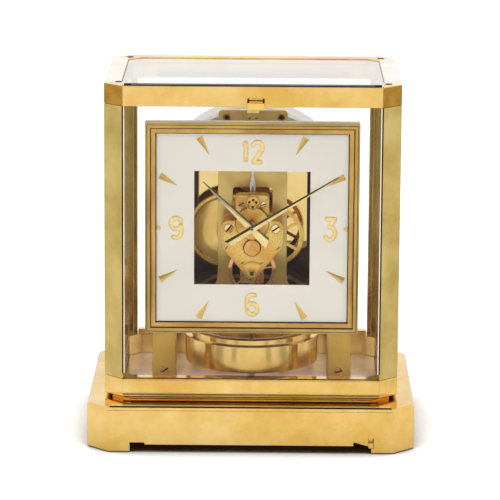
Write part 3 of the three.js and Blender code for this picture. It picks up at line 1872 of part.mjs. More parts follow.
// Going train
addOn("barrel", makeBarrel(), polishedBrass, barrelCentre);
addOn("barrel_arbor", makeBarrelArbor(), steel, barrelCentre);
addOn("second_wheel", makeSecondWheel(), polishedBrass, secondCentre);
addOn("third_wheel", makeThirdWheel(), polishedBrass, thirdCentre);
addOn("minute_arbor", makeMinuteArbor(), polishedBrass, centre);
addOn("hour_wheel", makeHourWheel(), copper, centre);
addOn("motion_wheel", makeMotionWheel(), copper, motion);
addOn("idler_wheel", makeIdler(), polishedBrass, motion);
addOn("escape_wheel", makeEscapeWheel(), copper, escape);

// Escapement module
add("module_plate", makeModulePlate(), brushedBrass);
add("movement_cock", makeMovementCock(), brushedBrass);
add("tip_cock", makeTipCock(), brushedBrass);
add("balance_bridge", makeBalanceBridge(), polishedBrass);
add("pallet_fork", makePalletFork(), steel);
for (const [name, side] of [["left", -1], ["right", 1]]) {
  const screw = makeScrew(
    cockHeadRadius, cockHeadThickness, screwShankRadius, cockThickness - seam, side * Math.PI / 4,
  );
  add(`cock_screw_${name}`, screw, polishedBrass, side * cockScrewX, cockFront - seam, cockScrewHeight);
}

// Pendulum
add("pendulum_ring", makePendulumRing(), polishedBrass, 0, pendulumY);
add("pendulum_staff", makePendulumStaff(), polishedBrass, 0, pendulumY);
add("suspension_wire", post(wireRadius, staffTop + seam, columnTop, [0, 0], 6), steel, 0, pendulumY);
add("suspension_tube", makeSuspensionTube(), steel, 0, pendulumY);
add("suspension_block", makeSuspensionBlock(), brushedBrass);

// Dial and hands
add("dial_bezel", makeBezel(), polishedBrass);
add("dial_plate", makeDial(), enamel);
addOn("dial_pillar_left", makeDialPillar(), polishedBrass, [-dialPillarX, dialHeight]);
addOn("dial_pillar_right", makeDialPillar(), polishedBrass, [dialPillarX, dialHeight]);
const hourHole = arborRadius + play + pipeWall + seam;
const hourHand = makeHand(hourLength, hourTail, hourWidth, hourHandFront, hourHole);
const minuteHand = makeHand(minuteLength, minuteTail, minuteWidth, minuteHandFront, arborRadius + seam);
add("hour_hand", hourHand, polishedBrass, 0, 0, dialHeight, hourAngle);
add("minute_hand", minuteHand, polishedBrass, 0, 0, dialHeight, minuteAngle);

export default clock;
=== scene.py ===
"""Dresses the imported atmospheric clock: brass case, glass, dial, gilt movement and pendulum.

Laid out as an add-on and run as a script. Lengths are in millimetres, and `MM` turns them
into Blender's metres. Only the stage and the defaults of the trees' inputs are in metres.
"""

import math

import bmesh
import bpy
from bpy.props import FloatProperty, FloatVectorProperty, PointerProperty
from mathutils import Matrix, Vector


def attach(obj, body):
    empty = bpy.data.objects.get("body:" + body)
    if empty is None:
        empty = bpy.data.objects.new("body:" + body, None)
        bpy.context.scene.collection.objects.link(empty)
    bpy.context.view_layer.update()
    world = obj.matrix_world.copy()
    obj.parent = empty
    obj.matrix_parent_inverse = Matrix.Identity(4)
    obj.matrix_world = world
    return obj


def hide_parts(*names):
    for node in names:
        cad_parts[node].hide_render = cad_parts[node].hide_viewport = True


bl_info = {
    "name": "Atmospheric clock", "version": (1, 0, 0), "blender": (4, 5, 0),
    "location": "3D View > Sidebar > Clock",
    "description": "Finishes, dial, movement and stage of an atmospheric clock",
    "category": "Object"
}

MM = 0.001
RGBA = {"data_type": "RGBA"}
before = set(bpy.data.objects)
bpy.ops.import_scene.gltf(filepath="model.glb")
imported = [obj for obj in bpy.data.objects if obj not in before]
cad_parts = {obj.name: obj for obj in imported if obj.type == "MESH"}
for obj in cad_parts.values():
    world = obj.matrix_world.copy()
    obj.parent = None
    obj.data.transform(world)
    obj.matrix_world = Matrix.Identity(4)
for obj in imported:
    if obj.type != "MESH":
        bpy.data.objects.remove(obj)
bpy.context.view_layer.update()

# Places and sizes of the CAD model, in millimetres. Arbors are given by x and height.
CENTRE = (0.0, 140.2)
MOTION = (0.0, 124.03)
ESCAPE = (0.0, 107.125)
BARREL = (-17.8, 128.0)
SECOND = (13.8813, 124.7261)
DRUM = (0.0, 140.0)
DISC = (0.3, 154.3)
COCK_FRONT = -33.8
DIAL_FACE = -50.2
PENDULUM_AXIS = (0.0, -10.0)
TRAIN_MODULE = 0.49
HOUR_MODULE = 0.35933
CANNON_MODULE = 0.5775
# What was made with its face up is turned to face the viewer, or left as it is
FRONT = Matrix.Rotation(math.radians(90), 4, "X")
FORWARD = (math.radians(90), 0.0, 0.0)
UPWARD = (0.0, 0.0, 0.0)


def hexed(code):
    """An sRGB hex colour as the linear colour a shader takes."""
    parts = [int(code[i : i + 2], 16) / 255 for i in (1, 3, 5)]
    linear = [p / 12.92 if p <= 0.04045 else ((p + 0.055) / 1.055) ** 2.4 for p in parts]
    return (*linear, 1.0)


def put(tree, kind, sockets=None, **settings):
    """Adds a node with its settings. A socket takes a value, the output it is linked to, or
    the node whose first output that is."""
    node = tree.nodes.new(kind)
    for key, value in settings.items():
        setattr(node, key, value)
    for key, value in (sockets or {}).items():
        if isinstance(value, bpy.types.Node):
            value = value.outputs[0]
        if isinstance(value, bpy.types.NodeSocket):
            tree.links.new(value, node.inputs[key])
        else:
            node.inputs[key].default_value = value
    return node


def chain(tree, known, rows):
    """Adds a row of nodes and keeps each in known under its name. A later row takes it, or
    its output after a dot, as a socket's value. A kind in capitals is an operation of a Math
    node, with its terms in order."""
    for name, kind, *rest in rows:
        if kind.isupper():
            sockets, settings = dict(enumerate(rest)), {"operation": kind}
            kind = "ShaderNodeMath"
        else:
            sockets, settings = (*rest, {}, {})[:2]
        for key, value in sockets.items():
            source, _, end = value.partition(".") if isinstance(value, str) else ("", "", "")
            if source in known and end:
                sockets[key] = known[source].outputs[int(end) if end.isdigit() else end]
            elif source in known:
                sockets[key] = known[source]
        known[name] = put(tree, kind, sockets, **settings)
    return known


# Sizes and colours that a user would change


def colour(name, description, code):
    return FloatVectorProperty(
        name=name, description=description, subtype="COLOR", size=4, min=0.0, max=1.0,
        default=hexed(code)
    )


def number(name, description, default, *limits, **more):
    """A number, with its lowest and highest value where it has them."""
    more.update(zip(("min", "max"), limits))
    return FloatProperty(name=name, description=description, default=default, **more)


class CaseLook(bpy.types.PropertyGroup):
    brass: colour("Brass", "Polished brass where the lacquer is whole", "#F5D083")
    tarnish: colour("Tarnish", "Brass where the lacquer has aged", "#E8B95C")
    patch: number("Tarnish patch", "Width of a patch of aged lacquer, in mm", 34.0, 5.0, 200.0)
    roughness: number(
        "Polish", "Roughness of the polished brass", 0.1, 0.02, 0.6, subtype="FACTOR"
    )
    screw_radius: number(
        "Top screw radius", "Radius of the slotted screws in the top frame, in mm", 2.4, 1.0, 4.0
    )


class DialLook(bpy.types.PropertyGroup):
    enamel: colour("Dial", "Off-white of the silvered dial", "#E8E3D7")
    gilding: colour("Numerals", "Gilding of the numerals and hands", "#FCE49C")
    stroke: number("Numeral stroke", "Width of a numeral's stroke, in mm", 3.0, 1.0, 4.0)
    rise: number(
        "Numeral rise", "How far a numeral stands out of the dial, in mm", 0.6, 0.2, 1.5
    )


class MovementLook(bpy.types.PropertyGroup):
    gilt: colour("Gilt", "Gilded brass of the wheels", "#E6C36E")
    satin: colour("Satin brass", "Upright-brushed brass of the plates", "#E4C878")
    copper: colour("Copper", "Copper-coloured gilding of the escape wheel", "#F0BC90")
    steel: colour("Steel", "Polished steel of screws and arbors", "#C9CBCD")
    silver: colour("Silver", "Silvered metal of the drum and floor", "#F1EFEA")


class StageLook(bpy.types.PropertyGroup):
    place: FloatVectorProperty(
        name="Camera place", description="Where the camera stands", subtype="TRANSLATION",
        unit="LENGTH", default=(0.00942, -1.95487, 0.53158),
    )
    yaw: number("Yaw", "Camera's turn to the right", math.radians(-0.32), subtype="ANGLE")
    pitch: number("Pitch", "Camera's tilt upwards", math.radians(-12.02), subtype="ANGLE")
    roll: number("Roll", "Camera's lean", math.radians(0.39), subtype="ANGLE")
    lens: number("Lens", "Focal length on a 36 mm sensor, in mm", 218.75, 20.0, 600.0)
    key: number("Key light", "Radiance of the large soft light", 2.15, 0.0, 10.0)
    ambient: number("Ambient", "Strength of the even light from all sides", 0.74, 0.0, 3.0)
    glow: number(
        "Floor glow", "Light that brings the paper floor to white for the eye", 0.38, 0.0, 1.0
    )
    wall: number(
        "Dark wall", "Brightness of the wall above the camera, as metal sees it", 0.08, 0.0, 1.0
    )


# Finishes

finishes = {}


def new_finish(name):
    """An empty node material, and its tree."""
    material = bpy.data.materials.new(name)
    material.use_nodes = True
    material.node_tree.nodes.clear()
    finishes[name] = material
    return material.node_tree


def output(tree, surface):
    put(tree, "ShaderNodeOutputMaterial", {"Surface": surface})


def metal(
    name, light, dark, patch, grain, rough, spread, relief, edge=0.25, spots=0.0, axis=None,
    metallic=1.0, drawn=0.0, shine=0.5,
):
    """A worked metal. patch is the width of its stains, relief the depth of its grain and edge
    the rounding that light finds on its corners, in mm. grain is the length of its scratches
    along x, y and z, or the step between the rings that a lathe left round an axis that
    stands at x and z. rough is its roughness, give or take spread, and spots is how strong
    the flecks of lifted lacquer are. drawn is how far level scratches draw what it mirrors
    out upwards, up to 1, and shine is the gloss of a finish that isn't metal."""
    tree = new_finish(name)
    known = chain(tree, {}, [
        ("where", "ShaderNodeTexCoord"),
        ("stain", "ShaderNodeTexNoise", {
            "Vector": "where.Object", "Scale": 1 / (patch * MM), "Detail": 4.0,
            "Roughness": 0.6}),
        ("share", "ShaderNodeMapRange", {"Value": "stain", "From Min": 0.36, "From Max": 0.66}),
        ("tint", "ShaderNodeMix", {0: "share", 6: tuple(light), 7: tuple(dark)}, RGBA),
    ])
    if spots:
        fleck = (1 / (2.4 * MM), 1 / (2.4 * MM), 1 / (0.9 * MM))
        chain(tree, known, [
            ("flecks", "ShaderNodeMapping", {
                "Vector": "where.Object", "Rotation": (0.0, 0.6, 0.3), "Scale": fleck}),
            ("speck", "ShaderNodeTexNoise", {"Vector": "flecks", "Scale": 1.0, "Detail": 2.0}),
            ("deep", "ShaderNodeMapRange", {
                "Value": "speck", "From Min": 0.66, "From Max": 0.78, "To Max": spots}),
            ("thick", "MULTIPLY", "deep", "share"),
            ("tint", "ShaderNodeMix", {0: "thick", 6: "tint.2", 7: hexed("#8A6A34")}, RGBA),
        ])
    if axis:
        step = 1 / (grain * MM)
        chain(tree, known, [
            ("centred", "ShaderNodeMapping", {
                "Vector": "where.Object", "Location": (-axis[0] / grain, 0.0, -axis[1] / grain),
                "Scale": (step, 0.0, step)}),
            ("away", "ShaderNodeVectorMath", {0: "centred"}, {"operation": "LENGTH"}),
            ("scratch", "ShaderNodeTexNoise", {"W": "away.Value", "Scale": 1.0, "Detail": 3.0},
             {"noise_dimensions": "1D"}),
        ])
    else:
        chain(tree, known, [
            ("stretch", "ShaderNodeMapping", {
                "Vector": "where.Object", "Scale": tuple(1 / (length * MM) for length in grain)}),
            ("scratch", "ShaderNodeTexNoise", {"Vector": "stretch", "Scale": 1.0, "Detail": 3.0}),
        ])
    chain(tree, known, [
        ("gloss", "ShaderNodeMapRange", {
            "Value": "scratch", "From Min": 0.3, "From Max": 0.7, "To Min": rough - spread,
            "To Max": rough + spread}),
        ("dulled", "MULTIPLY_ADD", "share", spread, "gloss"),
        ("rounded", "ShaderNodeBevel", {"Radius": edge * MM}, {"samples": 4}),
        ("bump", "ShaderNodeBump", {
            "Strength": 1.0, "Distance": relief * MM, "Height": "scratch",
            "Normal": "rounded"}),
        ("surface", "ShaderNodeBsdfPrincipled", {
            "Base Color": "tint.2", "Metallic": metallic, "Roughness": "dulled",
            "Specular IOR Level": shine, "Normal": "bump"}),
    ])
    surface = known["surface"]
    if drawn:
        surface.inputs["Anisotropic"].default_value = drawn
        upward = put(tree, "ShaderNodeCombineXYZ", {2: 1.0})
        tree.links.new(upward.outputs[0], surface.inputs["Tangent"])
    output(tree, surface)


def make_finishes():
    """Every finish of the clock, from the metal it is made of and how that was worked."""
    case = bpy.context.scene.clock_case
    dial = bpy.context.scene.clock_dial
    movement = bpy.context.scene.clock_movement
    # Polished brass under clear lacquer: bright, with soft yellow-brown patches of age,
    # flecks where the lacquer has lifted, and faint level polishing lines
    level = (60.0, 8.0, 1.2)
    polish = case.roughness
    metal(
        "lacquered_polished_brass", case.brass, case.tarnish, case.patch, level, polish, 0.03,
        0.002, 0.7, 0.5
    )
    # Painted highlight: brass made nearly silver for the pale lines where edges and upper faces
    # catch the light
    metal(
        "painted_highlight_brass", hexed("#FFFAF0"), hexed("#F6E9CC"), 30.0, (40.0, 40.0, 40.0), 0.12,
        0.03, 0.001, 0.1
    )
    # Painted reflection: darker brown brass on the corners of the top frame, where they mirror a
    # darker part of the room
    metal(
        "painted_reflection_corner_brass", hexed("#C9963F"), hexed("#A67A30"), 9.0, (40.0, 8.0, 1.2), 0.12,
        0.03, 0.002, 0.1
    )
    # Painted shade: a dull, near-black finish with almost no light, laid in seams, gaps and slots,
    # behind teeth and under the glass's edge, where shade falls
    metal(
        "painted_shade_black", hexed("#1A130E"), hexed("#0E0A07"), 12.0, (9.0, 9.0, 9.0), 0.85, 0.05,
        0.002, 0.1, metallic=0.0, shine=0.08
    )
    # Brass of the posts, polished along their length: greener, with dull patches
    metal(
        "lacquered_brass_upright", hexed("#E2C87C"), hexed("#C9AC5F"), 26.0, (1.2, 1.2, 70.0),
        polish, 0.03, 0.002, 0.9, 0.35
    )
    # Outer band of the bezel: darker olive brass, so it stands back from the dial
    metal(
        "olive_bezel_brass", hexed("#CDAA5C"), hexed("#A88C4C"), 40.0, (50.0, 8.0, 50.0), 0.12,
        0.03, 0.002, 0.3
    )
    # Inner band of the bezel: redder brass beside the dial
    metal(
        "tawny_bezel_brass", hexed("#D6AC5E"), hexed("#B98A42"), 30.0, (50.0, 8.0, 50.0), 0.14,
        0.03, 0.002, 0.3
    )
    # Small turned parts fresh from the polishing wheel: pale gold that flashes
    metal(
        "polished_gilt_screw", hexed("#F8E6AC"), hexed("#EFD48C"), 4.0, (1.0, 1.0, 1.0), 0.1,
        0.03, 0.001, 0.1
    )
    # Grey satin steel of the suspension's ferrule, drawn along its length
    metal(
        "satin_ferrule_steel", hexed("#ECECEE"), hexed("#C9CACF"), 4.0, (0.4, 0.4, 20.0), 0.28,
        0.04, 0.002, 0.1
    )
    # Turned and polished brass of the pendulum: a mirror that draws all round it out into
    # upright bands
    metal(
        "turned_polished_brass", hexed("#F2D084"), hexed("#DDB25C"), 30.0, (40.0, 40.0, 0.5),
        0.14, 0.01, 0.0006, 0.5, drawn=1.0
    )
    # Sheet brass brushed upright with abrasive cloth: satin, olive, with fine upright lines
    metal(
        "upright_brushed_brass", movement.satin, hexed("#CDAE64"), 50.0, (0.9, 0.9, 60.0), 0.2,
        0.035, 0.002, 0.5, metallic=0.6
    )
    # Painted light on the lower ends of the legs and on the handle: the same brass made lighter and
    # yellower, and matt enough to stay light in the shade of the dial
    metal(
        "painted_light_leg_brass", hexed("#F2CB66"), hexed("#E3B54E"), 30.0, (0.9, 0.9, 60.0), 0.3,
        0.04, 0.002, 0.3, metallic=0.15
    )
    # Gilded brass: soft, warm and even, from the gilding bath
    metal(
        "gilded_brass", movement.gilt, hexed("#D0A24E"), 9.0, (1.5, 1.5, 0.8), 0.2, 0.04, 0.003,
        0.15
    )
    # Satin gilding of the cocks: finely blasted, with redder patches where hands held it
    metal(
        "satin_gilding", hexed("#EDCB70"), hexed("#D69A40"), 13.0, (0.35, 0.35, 0.35), 0.27,
        0.05, 0.005, 0.2, metallic=0.7
    )
    # Gilding over lathe marks: the rings turn each lamp into a bright fan
    metal(
        "barrel_turned_gilding", hexed("#F0D082"), hexed("#DDB662"), 30.0, 0.5, 0.22, 0.03,
        0.0004, 0.3, axis=BARREL
    )
    metal(
        "gear_turned_gilding", hexed("#EBBB68"), hexed("#D2974A"), 9.0, 0.3, 0.17, 0.05, 0.003,
        0.15, axis=MOTION
    )
    metal(
        "disc_turned_gilding", hexed("#E4BE68"), hexed("#CB9C48"), 9.0, 0.3, 0.17, 0.05, 0.003,
        0.2, axis=DISC
    )
    # Copper-coloured gilding of the escape wheel's rim: pinker than the rest, and smooth
    metal(
        "copper_gilding", movement.copper, hexed("#DDA274"), 10.0, (1.2, 1.2, 1.0), 0.13, 0.03,
        0.002, 0.2
    )
    # Mirror-polished plate behind the train: it shows the wheels again in its surface
    metal(
        "mirror_gilding", hexed("#F0D48E"), hexed("#E6C679"), 40.0, (30.0, 30.0, 30.0), 0.03,
        0.008, 0.0005, 0.2
    )
    # Old unlacquered brass of the drum's cradle: brown and dull
    metal(
        "aged_brown_brass", hexed("#B08F56"), hexed("#80612F"), 22.0, (2.0, 2.0, 2.0), 0.3,
        0.06, 0.006
    )
    # Oil-blackened steel of pins and holes' rims, nearly black, which also lays painted shade in
    # the barrel's two holes, in the gap between the bezel's bands and round the dial's edge
    metal(
        "blackened_steel", hexed("#3A332B"), hexed("#1F1A15"), 5.0, (0.5, 0.5, 0.5), 0.35, 0.05,
        0.003, 0.1
    )
    # Hardened and polished steel: grey and sharp in its highlights
    metal(
        "polished_steel", movement.steel, hexed("#A9ABAE"), 8.0, (1.0, 1.0, 1.0), 0.16, 0.04,
        0.002, 0.1
    )
    # Painted shade on the drum's front: a dark brown finish over its silvered front, which keeps
    # the wheels before it clear to read
    metal(
        "painted_shade_drum_face", hexed("#5A3F32"), hexed("#3A261C"), 30.0, 0.9, 0.32, 0.05, 0.002,
        0.3, axis=DRUM, metallic=0.7
    )
    # Silvered drum: nearly white, satin, with faint rings from the lathe
    metal(
        "turned_silvered_metal", movement.silver, hexed("#E4DFD2"), 60.0, 1.2, 0.32, 0.04,
        0.001, 0.4, axis=DRUM
    )
    # Floor plate: silvered and drawn from side to side, so the gold round it lies in it as
    # level streaks
    metal(
        "silvered_floor", hexed("#F1E7E4"), hexed("#DDC9B8"), 26.0, (70.0, 2.4, 70.0), 0.16,
        0.03, 0.05, metallic=0.55
    )
    # Upper facets of the hands: a painted reflection, olive gilt darker than the lower ones,
    # standing for the darker part of the room they mirror
    metal(
        "painted_reflection_facet", hexed("#C2BA90"), hexed("#97906A"), 8.0, (0.8, 0.8, 0.8), 0.12,
        0.03, 0.001, 0.1
    )
    # Raised gilding of the numerals and hands: pale gold, polished on its crests
    metal(
        "gilded_numeral", dial.gilding, hexed("#EDCF88"), 6.0, (0.8, 0.8, 0.8), 0.24, 0.03,
        0.001, 0.1, metallic=0.6
    )
    make_enamel(dial.enamel)
    make_glass()
    make_jewel()


def make_enamel(enamel):
    """The dial's face: silvered white under matt lacquer, with a grain too fine to count that
    is drawn at 0.5 mm so that it shows, and gilded darts where the face stands proud."""
    tree = new_finish("matt_silvered_dial")
    known = chain(tree, {}, [
        ("where", "ShaderNodeTexCoord"),
        ("grain", "ShaderNodeTexNoise", {
            "Vector": "where.Object", "Scale": 1 / (0.5 * MM), "Detail": 2.0}),
        ("cloud", "ShaderNodeTexNoise", {
            "Vector": "where.Object", "Scale": 1 / (60 * MM), "Detail": 3.0}),
        ("share", "ShaderNodeMapRange", {"Value": "cloud", "From Min": 0.35, "From Max": 0.65}),
        ("tint", "ShaderNodeMix", {0: "share", 6: tuple(enamel), 7: hexed("#E2DDD1")}, RGBA),
        ("bump", "ShaderNodeBump", {
            "Strength": 0.5, "Distance": 0.01 * MM, "Height": "grain"}),
        ("matt", "ShaderNodeBsdfPrincipled", {
            "Base Color": "tint.2", "Roughness": 0.42, "Normal": "bump"}),
        ("gilt", "ShaderNodeBsdfPrincipled", {
            "Base Color": hexed("#E3BE68"), "Metallic": 1.0, "Roughness": 0.2}),
        ("depth", "ShaderNodeSeparateXYZ", {0: "where.Object"}),
        ("proud", "LESS_THAN", "depth.Y", (DIAL_FACE - 0.02) * MM),
        ("both", "ShaderNodeMixShader", {0: "proud", 1: "matt", 2: "gilt"}),
    ])
    output(tree, known["both"])


def make_glass():
    """Thin clear plate glass: it takes light straight through, hides in full view, and
    mirrors more the flatter it is seen. Only its outer faces mirror, once for the sheet."""
    tree = new_finish("clear_plate_glass")
    known = chain(tree, {}, [
        ("facing", "ShaderNodeLayerWeight", {"Blend": 0.5}),
        ("steep", "POWER", "facing.Facing", 1.4),
        ("share", "MULTIPLY_ADD", "steep", 0.97, 0.012),
        ("behind", "ShaderNodeNewGeometry"),
        ("shade", "ShaderNodeLightPath"),
        ("none", "MAXIMUM", "behind.Backfacing", "shade.Is Shadow Ray"),
        ("left", "SUBTRACT", 1.0, "none"),
        ("mirrored", "MULTIPLY", "share", "left"),
        ("through", "ShaderNodeBsdfTransparent", {"Color": hexed("#FEFEFE")}),
        ("mirror", "ShaderNodeBsdfPrincipled", {
            "Base Color": hexed("#F2F2F4"), "Metallic": 1.0, "Roughness": 0.01}),
        ("both", "ShaderNodeMixShader", {0: "mirrored", 1: "through", 2: "mirror"}),
    ])
    output(tree, known["both"])


def make_jewel():
    """Synthetic ruby deep in its setting: nearly black, with a clear sharp gloss."""
    tree = new_finish("synthetic_ruby")
    known = chain(tree, {}, [
        ("where", "ShaderNodeTexCoord"),
        ("cloud", "ShaderNodeTexNoise", {"Vector": "where.Object", "Scale": 1 / (0.8 * MM)}),
        ("tint", "ShaderNodeMix", {0: "cloud", 6: hexed("#5C2426"), 7: hexed("#2C1214")}, RGBA),
        ("surface", "ShaderNodeBsdfPrincipled", {
            "Base Color": "tint.2", "Roughness": 0.08, "IOR": 1.76}),
    ])
    output(tree, known["surface"])


# Shapes


def tidied(mesh):
    """Merges a mesh's doubles and turns its faces outwards."""
    shape = bmesh.new()
    shape.from_mesh(mesh)
    bmesh.ops.remove_doubles(shape, verts=shape.verts, dist=0.002 * MM)
    bmesh.ops.dissolve_degenerate(shape, edges=shape.edges, dist=0.001 * MM)
    bmesh.ops.recalc_face_normals(shape, faces=shape.faces)
    shape.to_mesh(mesh)
    shape.free()
    return mesh


def mesh_object(name, points, faces):
    """A closed mesh from points in millimetres."""
    mesh = bpy.data.meshes.new(name)
    mesh.from_pydata([[c * MM for c in p] for p in points], [], faces)
    return bpy.data.objects.new(name, tidied(mesh))


def settle(obj, body, slot, finish, *nodes, sharp=32.0):
    """Gives a finished piece its finish, its shading, its body and the nodes it stands for."""
    if obj.name not in bpy.context.scene.collection.objects:
        bpy.context.scene.collection.objects.link(obj)
    obj.data.materials.clear()
    obj.data.materials.append(finishes[finish])
    for face in obj.data.polygons:
        face.use_smooth = True
        face.material_index = 0
    obj.data.set_sharp_from_angle(angle=math.radians(sharp))
    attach(obj, body)
    if nodes:
        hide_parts(*nodes)
    return obj


def softened(points, radius, steps=3, closed=True):
    """A polygon with each corner turned into a short curve."""
    result = []
    last = len(points) - 1
    for i, point in enumerate(points):
        corner = Vector(point)
        on_axis = point[0] == 0
        if on_axis or (not closed and i in (0, last)):
            result.append(tuple(corner))
            continue
        before = Vector(points[i - 1]) - corner
        after = Vector(points[(i + 1) % len(points)]) - corner
        cut = min(radius, before.length * 0.45, after.length * 0.45)
        start = corner + before.normalized() * cut
        end = corner + after.normalized() * cut
        for step in range(steps + 1):
            t = step / steps
            mixed = start * (1 - t) ** 2 + corner * 2 * t * (1 - t) + end * t * t
            result.append(tuple(mixed))
    return result


def rounded(points, steps=6):
    """An outline of (x, z, radius) with each corner turned into an arc of its radius."""
    result = []
    for i, (x, z, radius) in enumerate(points):
        corner = Vector((x, z))
        if not radius:
            result.append((x, z))
            continue
        before = (Vector(points[i - 1][:2]) - corner).normalized()
        after = (Vector(points[(i + 1) % len(points)][:2]) - corner).normalized()
        half = before.angle(after) / 2
        middle = corner + (before + after).normalized() * radius / math.sin(half)
        start = corner + before * radius / math.tan(half) - middle
        sweep = start.angle_signed(corner + after * radius / math.tan(half) - middle)
        for step in range(steps + 1):
            turn = Matrix.Rotation(-sweep * step / steps, 2)
            result.append(tuple(middle + turn @ start))
    return result


def spun(name, profile, axis="Z", centre=(0.0, 0.0), sides=96, closed=True):
    """A turned piece. profile holds (radius, place along the axis) round its section, and
    centre is where the axis stands in the other two directions."""
    points, rows = [], []
    for radius, along in profile:
        row = []
        for i in range(sides if radius > 0 else 1):
            turn = 2 * math.pi * i / sides
            a = centre[0] + radius * math.cos(turn)
            b = centre[1] + radius * math.sin(turn)
            row.append(len(points))
            points.append((a, b, along) if axis == "Z" else (a, along, b))
        rows.append(row if radius > 0 else row * sides)
    faces = []
    pairs = list(zip(rows, rows[1:]))
    if closed:
        pairs.append((rows[-1], rows[0]))
    for low, high in pairs:
        for i in range(sides):
            j = (i + 1) % sides
            face = list(dict.fromkeys((low[i], low[j], high[j], high[i])))
            if len(face) > 2:
                faces.append(face)
    return mesh_object(name, points, faces)


def ring_points(radius, centre=(0.0, 0.0), count=48):
    return [
        (
            centre[0] + radius * math.cos(2 * math.pi * i / count),
            centre[1] + radius * math.sin(2 * math.pi * i / count),
        )
        for i in range(count)
    ]


def flat(name, outlines, front, back, edge=0.2):
    """A plate that stands across the clock, from outlines of (x, z): the first is its rim and
    the rest are its holes. Its edges are rounded by edge."""
    curve = bpy.data.curves.new(name, "CURVE")
    curve.dimensions = "2D"
    curve.fill_mode = "BOTH"
    curve.extrude = (back - front) / 2 * MM - edge * MM
    curve.bevel_depth = edge * MM
    curve.bevel_resolution = 1
    curve.offset = -edge * MM
    for outline in outlines:
        spline = curve.splines.new("POLY")
        spline.points.add(len(outline) - 1)
        for point, (x, z) in zip(spline.points, outline):
            point.co = (x * MM, z * MM, 0, 1)
        spline.use_cyclic_u = True
    holder = bpy.data.objects.new(name + "_outline", curve)
    bpy.context.scene.collection.objects.link(holder)
    bpy.context.view_layer.update()
    graph = bpy.context.evaluated_depsgraph_get()
    mesh = bpy.data.meshes.new_from_object(holder.evaluated_get(graph))
    bpy.data.objects.remove(holder)
    bpy.data.curves.remove(curve)
    mesh.name = name
    mesh.transform(FRONT)
    mesh.transform(Matrix.Translation((0, (front + back) / 2 * MM, 0)))
    return bpy.data.objects.new(name, tidied(mesh))


def slab(name, outline, low, high):
    """A thin sheet or strip that lies level, from an outline of (x, y)."""
    count = len(outline)
    points = [(x, y, z) for z in (low, high) for x, y in outline]
    faces = [tuple(reversed(range(count))), tuple(range(count, 2 * count))]
    faces += [(i, (i + 1) % count, (i + 1) % count + count, i + count) for i in range(count)]
    return mesh_object(name, points, faces)


def oblong(x0, x1, y0, y1):
    return [(x0, y0), (x1, y0), (x1, y1), (x0, y1)]


def mirror(outline):
    """The same outline on the clock's other side."""
    return [(-x, y) for x, y in outline]


def pair(x, y, z):
    """Two places that mirror each other."""
    return [(-x, y, z), (x, y, z)]


# Geometry Nodes


def new_tree(name, inputs):
    """A geometry tree with one named input for each size, and those inputs by name."""
    tree = bpy.data.node_groups.new(name, "GeometryNodeTree")
    sockets = tree.interface
    sockets.new_socket("Geometry", in_out="INPUT", socket_type="NodeSocketGeometry")
    for label, kind, value in inputs:
        socket = sockets.new_socket(label, in_out="INPUT", socket_type="NodeSocket" + kind)
        if value is not None:
            socket.default_value = value
    sockets.new_socket("Geometry", in_out="OUTPUT", socket_type="NodeSocketGeometry")
    given = put(tree, "NodeGroupInput").outputs
    return tree, {item.name: item for item in given if item.name}


def end_tree(tree, known, last):
    """Every tree ends with real geometry and its material."""
    chain(tree, known, [
        ("real", "GeometryNodeRealizeInstances", {0: last}),
        ("painted", "GeometryNodeSetMaterial", {"Geometry": "real", "Material": "Material"}),
        ("end", "NodeGroupOutput", {0: "painted"}),
    ])
    return tree


def grown(name, tree, values, points=(), edges=()):
    """The plain mesh that a tree makes from loose points, or lines of them, in mm."""
    mesh = bpy.data.meshes.new(name + "_points")
    mesh.from_pydata([[c * MM for c in p] for p in points], edges, [])
    holder = bpy.data.objects.new(name + "_holder", mesh)
    bpy.context.scene.collection.objects.link(holder)
    modifier = holder.modifiers.new("Nodes", "NODES")
    modifier.node_group = tree
    for item in tree.interface.items_tree:
        if item.item_type == "SOCKET" and item.in_out == "INPUT" and item.name in values:
            modifier[item.identifier] = values[item.name]
    holder.update_tag()
    bpy.context.view_layer.update()
    graph = bpy.context.evaluated_depsgraph_get()
    result = bpy.data.meshes.new_from_object(holder.evaluated_get(graph))
    result.name = name
    bpy.data.objects.remove(holder)
    bpy.data.meshes.remove(mesh)
    return bpy.data.objects.new(name, tidied(result))


